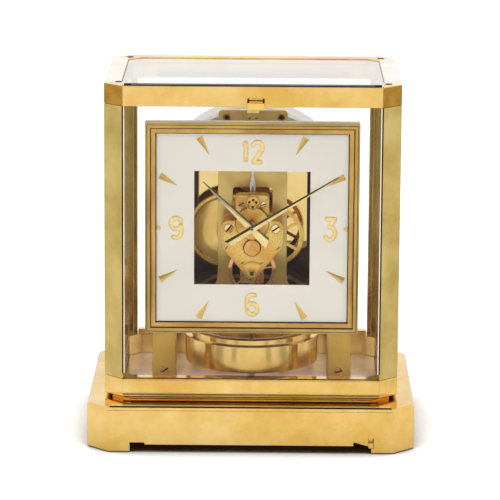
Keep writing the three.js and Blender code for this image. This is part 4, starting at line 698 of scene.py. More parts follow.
def screw_tree(slots_only=False):
    """Slotted screws that stand with their seats on loose points: a turned head with a
    chamfered rim, cut by its slot and turned by chance from a fixed seed, and a shank. With
    slots_only it makes painted shade instead: dark bars on the floors of the same slots."""
    tree, known = new_tree("slot_painted_shade" if slots_only else "slotted_screws", [
        ("Radius", "Float", 0.002), ("Height", "Float", 0.001), ("Slot Width", "Float", 0.0005),
        ("Slot Depth", "Float", 0.0004), ("Shank Length", "Float", 0.0005),
        ("Facing", "Vector", (0.0, 0.0, 0.0)), ("Turn", "Float", 0.0), ("Seed", "Int", 7),
        ("Material", "Material", None),
    ])
    if slots_only:
        thin = 0.1 * MM
        chain(tree, known, [
            ("breadth", "MULTIPLY", "Radius", 1.9),
            ("narrow", "MULTIPLY", "Slot Width", 0.94),
            ("lying", "ShaderNodeCombineXYZ", {0: "breadth", 1: "narrow", 2: thin}),
            ("bar", "GeometryNodeMeshCube", {"Size": "lying"}),
            ("bed", "SUBTRACT", "Height", "Slot Depth"),
            ("rise", "ADD", "bed", thin),
            ("sunk", "ShaderNodeCombineXYZ", {2: "rise"}),
            ("whole", "GeometryNodeTransform", {"Geometry": "bar.Mesh", "Translation": "sunk"}),
        ])
    else:
        chain(tree, known, [
            ("wall", "MULTIPLY", "Height", 0.8),
            ("chamfer", "MULTIPLY", "Height", 0.2),
            ("head", "GeometryNodeMeshCylinder", {
                "Vertices": 40, "Radius": "Radius", "Depth": "wall"}),
            ("raised", "GeometryNodeExtrudeMesh", {
                "Mesh": "head.Mesh", "Selection": "head.Top", "Offset Scale": "chamfer"}),
            ("crown", "GeometryNodeScaleElements", {
                "Geometry": "raised.Mesh", "Selection": "raised.Top", "Scale": 0.86}),
            ("length", "MULTIPLY", "Radius", 3.0),
            ("twice", "MULTIPLY", "Slot Depth", 2.0),
            ("shape", "ShaderNodeCombineXYZ", {0: "length", 1: "Slot Width", 2: "twice"}),
            ("cutter", "GeometryNodeMeshCube", {"Size": "shape"}),
            ("half", "MULTIPLY", "wall", 0.5),
            ("top", "ADD", "half", "chamfer"),
            ("lift", "ShaderNodeCombineXYZ", {2: "top"}),
            ("placed", "GeometryNodeTransform", {
                "Geometry": "cutter.Mesh", "Translation": "lift"}),
            ("slotted", "GeometryNodeMeshBoolean", {"Mesh 1": "crown", "Mesh 2": "placed"},
             {"operation": "DIFFERENCE"}),
            ("seat", "ShaderNodeCombineXYZ", {2: "half"}),
            ("seated", "GeometryNodeTransform", {"Geometry": "slotted", "Translation": "seat"}),
            ("core", "MULTIPLY", "Radius", 0.5),
            ("rod", "GeometryNodeMeshCylinder", {
                "Vertices": 20, "Radius": "core", "Depth": "Shank Length"}),
            ("deep", "MULTIPLY", "Shank Length", -0.5),
            ("under", "ShaderNodeCombineXYZ", {2: "deep"}),
            ("shank", "GeometryNodeTransform", {"Geometry": "rod.Mesh", "Translation": "under"}),
            ("whole", "GeometryNodeJoinGeometry", {0: "seated"}),
        ])
        tree.links.new(known["shank"].outputs[0], known["whole"].inputs[0])
    chain(tree, known, [
        ("chance", "FunctionNodeRandomValue", {2: -0.5, 3: 0.5, "Seed": "Seed"},
         {"data_type": "FLOAT"}),
        ("angle", "ADD", "Turn", "chance.1"),
        ("spin", "ShaderNodeCombineXYZ", {2: "angle"}),
        ("faced", "FunctionNodeRotateEuler", {0: "spin", "Rotate By": "Facing"}),
        ("spread", "GeometryNodeInstanceOnPoints", {
            "Points": "Geometry", "Instance": "whole", "Rotation": "faced"}),
    ])
    return end_tree(tree, known, "spread")


def pin_tree():
    """Round pins with a chamfered end that stand forward from loose points."""
    tree, known = new_tree("round_pins", [
        ("Radius", "Float", 0.0005), ("Height", "Float", 0.0005), ("Material", "Material", None),
    ])
    chain(tree, known, [
        ("pin", "GeometryNodeMeshCylinder", {
            "Vertices": 24, "Radius": "Radius", "Depth": "Height"}),
        ("crown", "GeometryNodeScaleElements", {
            "Geometry": "pin.Mesh", "Selection": "pin.Top", "Scale": 0.75}),
        ("spread", "GeometryNodeInstanceOnPoints", {
            "Points": "Geometry", "Instance": "crown", "Rotation": FORWARD}),
    ])
    return end_tree(tree, known, "spread")


def wheel_tree():
    """A flat wheel: a rim of rounded teeth, windows that leave its spokes, and a bore. It is
    drawn as closed curves, filled, and thickened, then stood up across the clock."""
    tree, known = new_tree("toothed_wheel", [
        ("Teeth", "Int", 60), ("Root Radius", "Float", 0.01), ("Tip Radius", "Float", 0.011),
        ("Tooth Share", "Float", 0.54), ("Lean", "Float", 0.0), ("Phase", "Float", 0.0),
        ("Rim Radius", "Float", 0.008), ("Hub Radius", "Float", 0.003), ("Spokes", "Int", 0),
        ("Spoke Width", "Float", 0.001), ("Spoke Phase", "Float", 0.0),
        ("Bore Radius", "Float", 0.001), ("Thickness", "Float", 0.001),
        ("Centre", "Vector", (0.0, 0.0, 0.0)), ("Material", "Material", None),
    ])
    # Teeth: eight points each with the tip in the middle, and the flanks bulge a little.
    # Windows: 24 points on the outer arc, and 12 back along the inner arc.
    chain(tree, known, [
        ("place", "GeometryNodeInputIndex"),
        ("count", "MULTIPLY", "Teeth", 8.0), ("eighth", "DIVIDE", "place", 8.0),
        ("tooth", "FLOOR", "eighth"), ("rest", "MODULO", "place", 8.0),
        ("step", "SUBTRACT", "rest", 4.0), ("away", "ABSOLUTE", "step"),
        ("down", "DIVIDE", "away", 3.0), ("near", "SUBTRACT", 1.0, "down"),
        ("height", "MAXIMUM", "near", 0.0), ("bulge", "POWER", "height", 0.7),
        ("depth", "SUBTRACT", "Tip Radius", "Root Radius"),
        ("tooth radius", "MULTIPLY_ADD", "bulge", "depth", "Root Radius"),
        ("sixth", "DIVIDE", "Tooth Share", 6.0), ("leaning", "MULTIPLY", "Lean", "bulge"),
        ("share", "MULTIPLY_ADD", "step", "sixth", "leaning"),
        ("number", "ADD", "tooth", "share"), ("pitch", "DIVIDE", 2 * math.pi, "Teeth"),
        ("tooth angle", "MULTIPLY_ADD", "number", "pitch", "Phase"),
        ("outer", "LESS_THAN", "place", 23.5), ("outward", "DIVIDE", "place", 23.0),
        ("gone", "SUBTRACT", "place", 24.0), ("returned", "DIVIDE", "gone", -11.0),
        ("back", "ADD", "returned", 1.0), ("turned", "SUBTRACT", "outward", "back"),
        ("along", "MULTIPLY_ADD", "turned", "outer", "back"),
        ("band", "SUBTRACT", "Rim Radius", "Hub Radius"),
        ("window radius", "MULTIPLY_ADD", "outer", "band", "Hub Radius"),
        ("spokes", "MAXIMUM", "Spokes", 1.0), ("room", "DIVIDE", math.pi, "spokes"),
        ("both", "MULTIPLY", "window radius", 2.0), ("width", "DIVIDE", "Spoke Width", "both"),
        ("taken", "ARCSINE", "width"), ("half", "SUBTRACT", "room", "taken"),
        ("way", "MULTIPLY_ADD", "along", 2.0, -1.0),
        ("window angle", "MULTIPLY", "way", "half"), ("middle", "ADD", "place", 0.5),
        ("whole", "MULTIPLY", "room", 2.0),
        ("turn", "MULTIPLY_ADD", "middle", "whole", "Spoke Phase"),
    ])
    for line, resolution in (("tooth", "count"), ("window", 36)):
        chain(tree, known, [
            ("level", "COSINE", line + " angle"),
            ("x", "MULTIPLY", line + " radius", "level"),
            ("upright", "SINE", line + " angle"),
            ("y", "MULTIPLY", line + " radius", "upright"),
            ("point", "ShaderNodeCombineXYZ", {0: "x", 1: "y"}),
            ("blank", "GeometryNodeCurvePrimitiveCircle", {"Resolution": resolution}),
            (line + " line", "GeometryNodeSetPosition", {
                "Geometry": "blank", "Position": "point"}),
        ])
    chain(tree, known, [
        ("centres", "GeometryNodePoints", {"Count": "Spokes"}),
        ("spin", "ShaderNodeCombineXYZ", {2: "turn"}),
        ("windows", "GeometryNodeInstanceOnPoints", {
            "Points": "centres", "Instance": "window line", "Rotation": "spin"}),
        ("cut", "GeometryNodeRealizeInstances", {0: "windows"}),
        ("bore", "GeometryNodeCurvePrimitiveCircle", {
            "Resolution": 24, "Radius": "Bore Radius"}),
        ("drawn", "GeometryNodeJoinGeometry", {0: "tooth line"}),
    ])
    for hole in ("cut", "bore"):
        tree.links.new(known[hole].outputs[0], known["drawn"].inputs[0])
    chain(tree, known, [
        ("sheet", "GeometryNodeFillCurve", {0: "drawn"}),
        ("raised", "GeometryNodeExtrudeMesh", {
            "Mesh": "sheet", "Offset Scale": "Thickness", "Individual": False}),
        ("rear", "GeometryNodeFlipFaces", {0: "sheet"}),
        ("closed", "GeometryNodeJoinGeometry", {0: "raised"}),
    ])
    tree.links.new(known["rear"].outputs[0], known["closed"].inputs[0])
    chain(tree, known, [
        ("merged", "GeometryNodeMergeByDistance", {0: "closed", "Distance": 0.002 * MM}),
        ("stood", "GeometryNodeTransform", {
            "Geometry": "merged", "Translation": "Centre", "Rotation": FORWARD}),
    ])
    return end_tree(tree, known, "stood")


def stroke_tree():
    """A raised stroke with round ends along each line of points: a numeral's limbs."""
    tree, known = new_tree("numeral_strokes", [
        ("Width", "Float", 0.0023), ("Rise", "Float", 0.0008), ("Step", "Float", 0.0003),
        ("Material", "Material", None),
    ])
    chain(tree, known, [
        ("path", "GeometryNodeMeshToCurve", {0: "Geometry"}),
        ("even", "GeometryNodeResampleCurve", {"Curve": "path", "Length": "Step"},
         {"mode": "LENGTH"}),
        ("half", "MULTIPLY", "Width", 0.5),
        ("place", "GeometryNodeSplineParameter"),
        ("spline", "GeometryNodeSplineLength"),
        ("rest", "SUBTRACT", "spline.Length", "place.Length"),
        ("near", "MINIMUM", "place.Length", "rest"),
        ("share", "ShaderNodeMath", {0: "near", 1: "half"},
         {"operation": "DIVIDE", "use_clamp": True}),
        ("left", "SUBTRACT", 1.0, "share"),
        ("square", "MULTIPLY", "left", "left"),
        ("under", "SUBTRACT", 1.02, "square"),
        ("round end", "SQRT", "under"),
        ("section", "GeometryNodeCurvePrimitiveCircle", {"Resolution": 12, "Radius": 1.0}),
        ("flatten", "ShaderNodeCombineXYZ", {0: "Rise", 1: "half", 2: 1.0}),
        ("oval", "GeometryNodeTransform", {"Geometry": "section", "Scale": "flatten"}),
        ("upright", "GeometryNodeSetCurveNormal", {"Curve": "even", "Normal": (0.0, 1.0, 0.0)},
         {"mode": "FREE"}),
        ("swept", "GeometryNodeCurveToMesh", {
            "Curve": "upright", "Profile Curve": "oval", "Scale": "round end",
            "Fill Caps": True}),
    ])
    return end_tree(tree, known, "swept")


# Pieces


def dress(nodes, finish):
    """Gives CAD nodes a finish."""
    for name in nodes.split():
        for material_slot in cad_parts[name].material_slots:
            material_slot.material = finishes[finish]


class CLOCK_OT_case(bpy.types.Operator):
    """Finishes the brass case, its glass and its floor"""

    bl_idname = "clock.case"
    bl_label = "Case"

    def execute(self, context):
        posts = "post_front_left post_front_right post_rear_left post_rear_right"
        panes = "top_glass glass_left glass_right glass_rear front_panel_glass"
        dress("base_plinth lower_frame top_frame front_panel_rail", "lacquered_polished_brass")
        dress("foot_front_left foot_front_right foot_rear lock_lever", "lacquered_polished_brass")
        # Painted highlight: the handle takes the lighter brass of the legs
        dress("front_panel_handle", "painted_light_leg_brass")
        dress(posts, "lacquered_brass_upright")
        dress(panes, "clear_plate_glass")
        dress("floor_plate", "silvered_floor")
        dress("lock_plunger", "polished_steel")
        # Strips of painted light and shade: body, outline, bottom, top and finish. Those on top of
        # the frame are painted highlights on its sides and along its front and painted shade beside
        # the front rail;
        # those on the handle are painted shade round it and a painted highlight on top; the upright
        # ones are painted shade beside the front panel and painted highlights on the glass's edge;
        # those low down are painted shade in the seams at the plinth and under the frame and a
        # painted highlight on the plinth's rim; the top frame's corners carry painted reflection.
        # The level ones start just inside the face they lie on.
        pale, black, brown = "painted_highlight_brass", "painted_shade_black", "painted_reflection_corner_brass"
        side = [(-94.2, -50.8), (-84.0, -50.8), (-84.0, 60.0), (-94.2, 60.0)]
        corner = [(-94.35, -51.25), (-82.75, -62.85), (-82.85, -62.95), (-94.45, -51.35)]
        roof, seam = (233.75, 233.86), (29.15, 29.26)
        beside_glass, beside_frame = (47.2, 220.6), (221.0, 233.6)
        for name, body, outline, (low, high), finish in [
            ("frame_side_highlight_left", "case", side, roof, pale),
            ("frame_side_highlight_right", "case", mirror(side), roof, pale),
            ("panel_rail_shade", "front_panel", oblong(-81.5, 81.5, -62.6, -58.7), roof, black),
            ("frame_front_shade", "case", oblong(-81.5, 81.5, -58.3, -52.4), roof, black),
            ("frame_front_highlight", "case", oblong(-77.0, 77.0, -56.9, -56.2), (233.85, 233.92), pale),
            ("handle_rim_shade", "front_panel", oblong(-3.4, 7.4, -72.3, -63.2), (224.75, 224.86), black),
            ("handle_top_highlight", "front_panel", oblong(-2.3, 6.3, -71.2, -65.6), (224.8, 224.92), pale),
            ("plinth_seam_shade", "case", oblong(-90.0, 90.0, -80.6, -77.4), seam, black),
            ("plinth_rim_highlight", "case", oblong(-89.0, 89.0, -77.0, -73.6), (29.15, 29.28), pale),
            ("frame_foot_shade", "case", oblong(-82.0, 82.0, -66.6, -63.2), seam, black),
            ("frame_corner_reflection_left", "case", corner, beside_frame, brown),
            ("frame_corner_reflection_right", "case", mirror(corner), beside_frame, brown),
            ("panel_shade_left", "case", oblong(-82.7, -81.9, -63.1, -61.8), beside_glass, black),
            ("panel_shade_right", "case", oblong(81.9, 82.7, -63.1, -61.8), beside_glass, black),
            ("panel_edge_highlight_left", "case", oblong(-81.85, -81.15, -62.6, -61.8), beside_glass, pale),
            ("panel_edge_highlight_right", "case", oblong(81.15, 81.85, -62.6, -61.8), beside_glass, pale),
        ]:
            settle(slab(name, outline, low, high), body, "polished_brass", finish)
        return {"FINISHED"}


class CLOCK_OT_screws(bpy.types.Operator):
    """Sets the slotted screws into the case and the movement"""

    bl_idname = "clock.screws"
    bl_label = "Screws"

    def execute(self, context):
        tree, floors = screw_tree(), screw_tree(slots_only=True)
        top = context.scene.clock_case.screw_radius
        corners = [(-85.4, -46, 233.5), (86.0, -48, 233.5), (-83, 62, 233.5), (85, 63, 233.5)]
        black, steel, gilt = "blackened_steel", "polished_steel", "polished_gilt_screw"
        brass = "polished_brass"
        # Name, seats, head radius and height, facing, turn, finish, slot, nodes replaced
        for name, seats, radius, height, facing, turn, finish, slot, *nodes in [
            ("top_frame_screws", corners, top, 0.55, UPWARD, 0.5, black, brass),
            (
                "cock_screws", pair(15.15, COCK_FRONT, 136.8), 3.1, 1.7, FORWARD, 0.65, gilt,
                brass, "cock_screw_left", "cock_screw_right"
            ),
            (
                "cock_small_screws", pair(16.7, COCK_FRONT, 123.8), 1.45, 0.7, FORWARD, 0.75,
                gilt, brass
            ),
            ("fan_cock_screws", pair(6.15, COCK_FRONT, 114.0), 1.2, 0.6, FORWARD, 0.4, gilt, brass),
            ("bridge_screws", pair(7.3, -29.0, 151.7), 1.9, 0.9, FORWARD, 0.35, gilt, brass),
            ("block_screws", pair(2.2, -14.0, 205.5), 1.1, 0.4, FORWARD, 0.2, steel, "steel"),
            (
                "leg_screws", pair(57.5, -4.0, 34.6), 2.7, 1.4, FORWARD, 0.35, gilt, brass,
                "leg_screw_left", "leg_screw_right"
            ),
        ]:
            sizes = {
                "Radius": radius * MM, "Height": height * MM, "Slot Width": radius * 0.34 * MM,
                "Slot Depth": min(height * 0.75, 1.1) * MM, "Shank Length": radius * MM,
                "Facing": facing, "Turn": turn, "Material": finishes[finish]
            }
            screws = grown(name, tree, sizes, seats)
            settle(screws, "case", slot, finish, *nodes)
            # Painted shade: dark bars lying in the slots
            dark = grown(name + "_slots", floors, sizes, seats)
            settle(dark, "case", slot, "painted_shade_black")
        return {"FINISHED"}


def arc(centre, radii, start, end, steps=14):
    """Points on an upright oval, from one angle to another in degrees."""
    points = []
    for i in range(steps + 1):
        turn = math.radians(start + (end - start) * i / steps)
        points.append(
            (centre[0] + radii[0] * math.cos(turn), centre[1] + radii[1] * math.sin(turn))
        )
    return points


def faceted_hand(name, length, tail, width, share, meet, face, turn):
    """A tapered hand with a slanted heel and a crest that parts its upper facet from its
    lower one. At the heel the crest stands above the middle by share of half the width, and
    it runs out into the lower side at meet, a share of the length."""
    half, tip = width / 2, 0.25
    upper = 1 if turn < 0 else -1
    lower_heel = -tail + width * (0.45 if upper < 0 else -0.1)
    upper_heel = -tail + width * (-0.1 if upper < 0 else 0.45)
    narrow = half + (tip - half) * meet
    rim = [
        (upper * tip, length), (upper * half, upper_heel), (-upper * half, lower_heel),
        (-upper * narrow, length * meet), (-upper * tip, length)
    ]
    crest = (upper * half * share, (upper_heel + lower_heel) / 2 + width * 0.1)
    lean = math.radians(turn)
    points = []
    # Depth behind the face: the rear, then the front of the rim, and the crest at the heel
    depths = [0.9] * 5 + [0.7, 0.8, 0.8, 0.2, 0.45, 0.0]
    for depth, (x, z) in zip(depths, rim + rim + [crest]):
        across = x * math.cos(lean) + z * math.sin(lean)
        height = z * math.cos(lean) - x * math.sin(lean)
        points.append((CENTRE[0] + across, face + depth, CENTRE[1] + height))
    sides = [(i, (i + 1) % 5, (i + 1) % 5 + 5, i + 5) for i in range(5)]
    facets = [(5, 6, 10), (5, 10, 9), (9, 10, 8), (8, 10, 7), (6, 7, 10)]
    return mesh_object(name, points, [(4, 3, 2, 1, 0)] + sides + facets)


class CLOCK_OT_dial(bpy.types.Operator):
    """Finishes the dial and its bezel and lays the raised numerals on it"""

    bl_idname = "clock.dial"
    bl_label = "Dial"

    def execute(self, context):
        dial = context.scene.clock_dial
        dress("dial_plate", "matt_silvered_dial")
        # The bezel's outer and inner bands, and painted shade in the gap between them, along the
        # outer band's seam and round the dial's edge: half sizes, front, back and finish
        for name, outer, inner, front, back, finish, *node in [
            ("bezel_outer_band", 68.4, 65.1, -54.0, -41.0, "olive_bezel_brass", "dial_bezel"),
            ("bezel_inner_band", 64.75, 61.75, -52.8, -50.3, "tawny_bezel_brass"),
            ("bezel_gap", 65.3, 64.5, -52.3, -50.4, "blackened_steel"),
            ("bezel_seam", 67.4, 67.05, -54.06, -53.9, "painted_shade_black"),
            ("dial_edge_line", 61.8, 61.2, -50.9, -50.25, "blackened_steel")
        ]:
            squares = [
                [
                    (CENTRE[0] + x * half, CENTRE[1] + z * half)
                    for x, z in ((-1, -1), (1, -1), (1, 1), (-1, 1))
                ]
                for half in (outer, inner)
            ]
            edge = 0.45 if "bezel_brass" in finish else 0.05
            band = flat(name, squares, front, back, edge)
            settle(band, "case", "polished_brass", finish, *node)
        dress("dial_pillar_left dial_pillar_right", "gilded_brass")
        # Length, tail, width, crest at the heel and where it runs out, front, and turn to
        # the right of each hand
        for name, length, tail, width, share, meet, face, turn in [
            ("hour", 43.6, 14.9, 6.4, 0.6, 0.64, -52.2, -46),
            ("minute", 64.4, 19.0, 4.8, 0.28, 0.93, -54.2, 58),
        ]:
            label = name + "_hand_faceted"
            hand = faceted_hand(label, length, tail, width, share, meet, face, turn)
            settle(hand, name, "polished_brass", "gilded_numeral", name + "_hand", sharp=2)
            # Painted reflection: the rising facets take the darker copy of the gilding
            hand.data.materials.append(finishes["painted_reflection_facet"])
            lean = math.radians(turn)
            upward = Vector((math.cos(lean), 0.0, -math.sin(lean))) * (1 if turn < 0 else -1)
            for facet in hand.data.polygons:
                rising = facet.normal.dot(upward) > 0.02 and facet.normal.y < -0.4
                facet.material_index = int(rising)
        nine = arc((0.0, 2.9), (3.3, 3.6), 0, 360, 36)
        nine_tail = [(3.3, 2.9), *arc((0.0, -2.9), (3.3, 3.6), 0, -145, 18)]
        six = [(-x, -z) for x, z in nine]
        six_tail = [(-x, -z) for x, z in nine_tail]
        numerals = {
            "numeral_12": (
                (0.3, 189.75),
                [
                    [(-6.3, 4.0), (-4.6, 6.3), (-4.6, -6.5)],
                    [*arc((2.9, 3.2), (3.2, 3.4), 178, -38, 16), (0.2, -6.4), (6.3, -6.4)]
                ]
            ),
            "numeral_3": (
                (49.65, 140.2),
                [
                    [
                        (-3.4, 6.5), (3.4, 6.5), (0.1, 1.4),
                        *arc((0.1, -2.9), (3.4, 4.0), 80, -165, 22)
                    ]
                ]
            ),
            "numeral_6": ((0.4, 90.25), [six, six_tail]),
            "numeral_9": ((-48.7, 140.2), [nine, nine_tail])
        }
        tree = stroke_tree()
        for name, ((x, z), strokes) in numerals.items():
            mesh_points, edges = [], []
            for stroke in strokes:
                start = len(mesh_points)
                mesh_points += [(x + a, DIAL_FACE - 0.1, z + b) for a, b in stroke]
                edges += [(i, i + 1) for i in range(start, len(mesh_points) - 1)]
            numeral = grown(
                name, tree,
                {
                    "Width": dial.stroke * MM, "Rise": dial.rise * MM, "Step": 0.28 * MM,
                    "Material": finishes["gilded_numeral"]
                },
                mesh_points, edges
            )
            settle(numeral, "case", "polished_brass", "gilded_numeral")
        return {"FINISHED"}


def meshed(start, start_teeth, start_phase, end, end_teeth):
    """The phase that puts a wheel in mesh with one whose own phase is known."""
    line = math.atan2(end[1] - start[1], end[0] - start[0])
    share = (line - start_phase) * start_teeth / (2 * math.pi)
    return line + math.pi - (0.5 - share) * 2 * math.pi / end_teeth


def toothed(teeth, module):
    """The root and tip radius of a wheel."""
    return module * (teeth / 2 - 1.15), module * (teeth / 2 + 0.8)


def escape_pinion_phase():
    """The idler's pinion meshes with the centre wheel, and its wheel with this pinion."""
    idler = meshed(CENTRE, 30, 0.0, MOTION, 15)
    return meshed(MOTION, 32, idler, ESCAPE, 16)


def rod(radius, front, back):
    """The section of a plain arbor with chamfered ends."""
    end = radius * 0.25
    return [
        (0.0, front), (radius - end, front), (radius, front + end), (radius, back - end),
        (radius - end, back), (0.0, back)
    ]


class CLOCK_OT_movement(bpy.types.Operator):
    """Finishes the plates of the movement and lays its cocks and bridge on them"""

    bl_idname = "clock.movement"
    bl_label = "Plates and cocks"

    def execute(self, context):
        dress("front_plate suspension_block", "upright_brushed_brass")
        dress("module_plate", "satin_gilding")
        dress("back_plate", "mirror_gilding")
        dress("drum_cradle leg_bracket_left leg_bracket_right", "aged_brown_brass")
        dress("third_wheel minute_arbor idler_wheel", "gilded_brass")
        dress("barrel_arbor pallet_fork winding_chain bellows_spring", "polished_steel")
        dress("suspension_wire", "blackened_steel")
        # Painted light: thin faces on the lower legs in a lighter brass, where the dial casts its
        # shade
        for side, name in ((-1, "left"), (1, "right")):
            edges = sorted((side * 50.7, side * 65.3))
            outline = [(edges[i], z) for i, z in ((0, 30.5), (1, 30.5), (1, 76.0), (0, 76.0))]
            leg = flat("leg_painted_light_" + name, [outline], -4.2, -3.9, 0.05)
            settle(leg, "case", "brushed_brass", "painted_light_leg_brass")
        half = [
            (4.25, 144.45, 1.5), (10.15, 141.8, 3.0), (20.15, 141.8, 5.0), (20.15, 131.8, 3.0),
            (19.1, 123.8, 2.4), (3.0, 104.125, 1.5)
        ]
        mirrored = [(-x, z, r) for x, z, r in reversed(half)]
        holes = [ring_points(1.25, CENTRE), ring_points(1.05, MOTION)]
        cock = flat(
            "movement_cock_plate", [rounded(half + mirrored), *holes, ring_points(1.6, ESCAPE)],
            COCK_FRONT, -31.3, 0.3
        )
        settle(cock, "case", "brushed_brass", "satin_gilding", "movement_cock")
        # The fan: an arc about the escape arbor, and a round tip below it
        fan = arc(ESCAPE, (7.7, 7.7), 42, 138, 24)
        fan += arc((ESCAPE[0], ESCAPE[1] - 0.3), (3.0, 3.0), 201, 339, 16)
        tip = flat("fan_cock", [fan, ring_points(1.7, ESCAPE)], -35.1, -33.9, 0.25)
        settle(tip, "case", "brushed_brass", "satin_gilding", "tip_cock")
        plate = [(-10.8, 144.6, 1.0), (10.8, 144.6, 1.0), (10.8, 157.6, 3.0), (-10.8, 157.6, 3.0)]
        bridge = flat("bridge_plate", [rounded(plate)], -29.0, -26.5, 0.35)
        settle(bridge, "case", "brushed_brass", "satin_gilding", "balance_bridge")
        feet = grown(
            "bridge_feet", pin_tree(),
            {"Radius": 1.8 * MM, "Height": 8.4 * MM, "Material": finishes["gilded_brass"]},
            pair(7.5, -22.3, 151.7)
        )
        settle(feet, "case", "polished_brass", "gilded_brass")
        rim = softened([(4.3, -35.5), (5.0, -35.5), (5.0, -36.8), (4.3, -36.8)], 0.25)
        hoop = spun("disc_rim", rim, "Y", DISC, 72)
        settle(hoop, "case", "polished_brass", "disc_turned_gilding")
        drilled = [
            ring_points(0.8, (DISC[0] + x, DISC[1] + z), 24)
            for x, z in ((0.2, 1.6), (-2.2, 0.2), (2.2, 0.1), (0.0, -3.1))
        ]
        face = flat("disc_face", [ring_points(4.2, DISC, 72), *drilled], -36.5, -35.7, 0.1)
        settle(face, "case", "polished_brass", "disc_turned_gilding")
        # Turned parts in front of the plates, by (radius, depth): the disc's stud and the bead
        # on it, then the escape arbor's setting and its jewel
        stud = [
            (0.0, -35.65), (4.4, -35.65), (4.4, -35.5), (1.6, -35.5), (1.6, -28.9), (0.0, -28.9)
        ]
        bead = [(0.0, -36.3), (0.0, -36.9), (0.35, -36.85), (0.62, -36.7), (0.7, -36.3)]
        setting = softened([(1.05, -33.9), (1.66, -33.9), (1.66, -35.2), (1.3, -35.2)], 0.1)
        ruby = [(0.0, -33.9), (0.0, -34.5), (0.5, -34.75), (0.95, -34.9), (1.05, -33.9)]
        beside = (DISC[0] + 0.2, DISC[1] - 1.2)
        for name, profile, axis, sides, slot, finish in [
            ("disc_seat", stud, DISC, 48, "polished_brass", "blackened_steel"),
            ("disc_jewel", bead, beside, 32, "polished_brass", "gilded_numeral"),
            ("escape_chaton", setting, ESCAPE, 40, "polished_brass", "gilded_brass"),
            ("escape_jewel", ruby, ESCAPE, 40, "steel", "synthetic_ruby"),
        ]:
            hollow = profile[0][0] > 0
            settle(spun(name, profile, "Y", axis, sides, hollow), "case", slot, finish)
        # Dark pins: the ferrule's screw, the minute hand's pivot, the ends of rivets, and painted
        # shade in the barrel's two holes
        for name, radius, height, places, body in [
            ("ferrule_screw", 0.5, 0.3, [(0.0, -11.95, 159.6)], "case"),
            ("plate_rivets", 1.7, 0.3, [(-17.0, -4.1, 204.3), (18.4, -4.1, 204.5)], "case"),
            ("hand_pivot", 0.75, 0.3, [(0.0, -54.35, 140.2)], "minute"),
            ("barrel_dimples", 0.45, 0.2, [(-34.9, 2.5, 138.9), (-27.6, 2.3, 112.2)], "barrel")
        ]:
            pins = grown(
                name, pin_tree(),
                {
                    "Radius": radius * MM, "Height": height * MM,
                    "Material": finishes["blackened_steel"]
                },
                places
            )
            settle(pins, body, "steel", "blackened_steel")
        collars = grown(
            "plate_rivet_collars", pin_tree(),
            {"Radius": 2.7 * MM, "Height": 0.2 * MM, "Material": finishes["aged_brown_brass"]},
            [(-17.0, -4.0, 204.3), (18.4, -4.0, 204.5)]
        )
        settle(collars, "case", "polished_brass", "aged_brown_brass")
        ferrule = spun(
            "suspension_ferrule",
            softened(
                [
                    (0.4, 156.8), (1.95, 156.8), (1.95, 162.4), (1.4, 163.0), (1.0, 165.5),
                    (0.6, 171.0), (0.6, 196.0), (0.4, 196.0)
                ],
                0.2
            ),
            "Z", PENDULUM_AXIS, 48
        )
        settle(ferrule, "case", "steel", "satin_ferrule_steel", "suspension_tube")
        return {"FINISHED"}


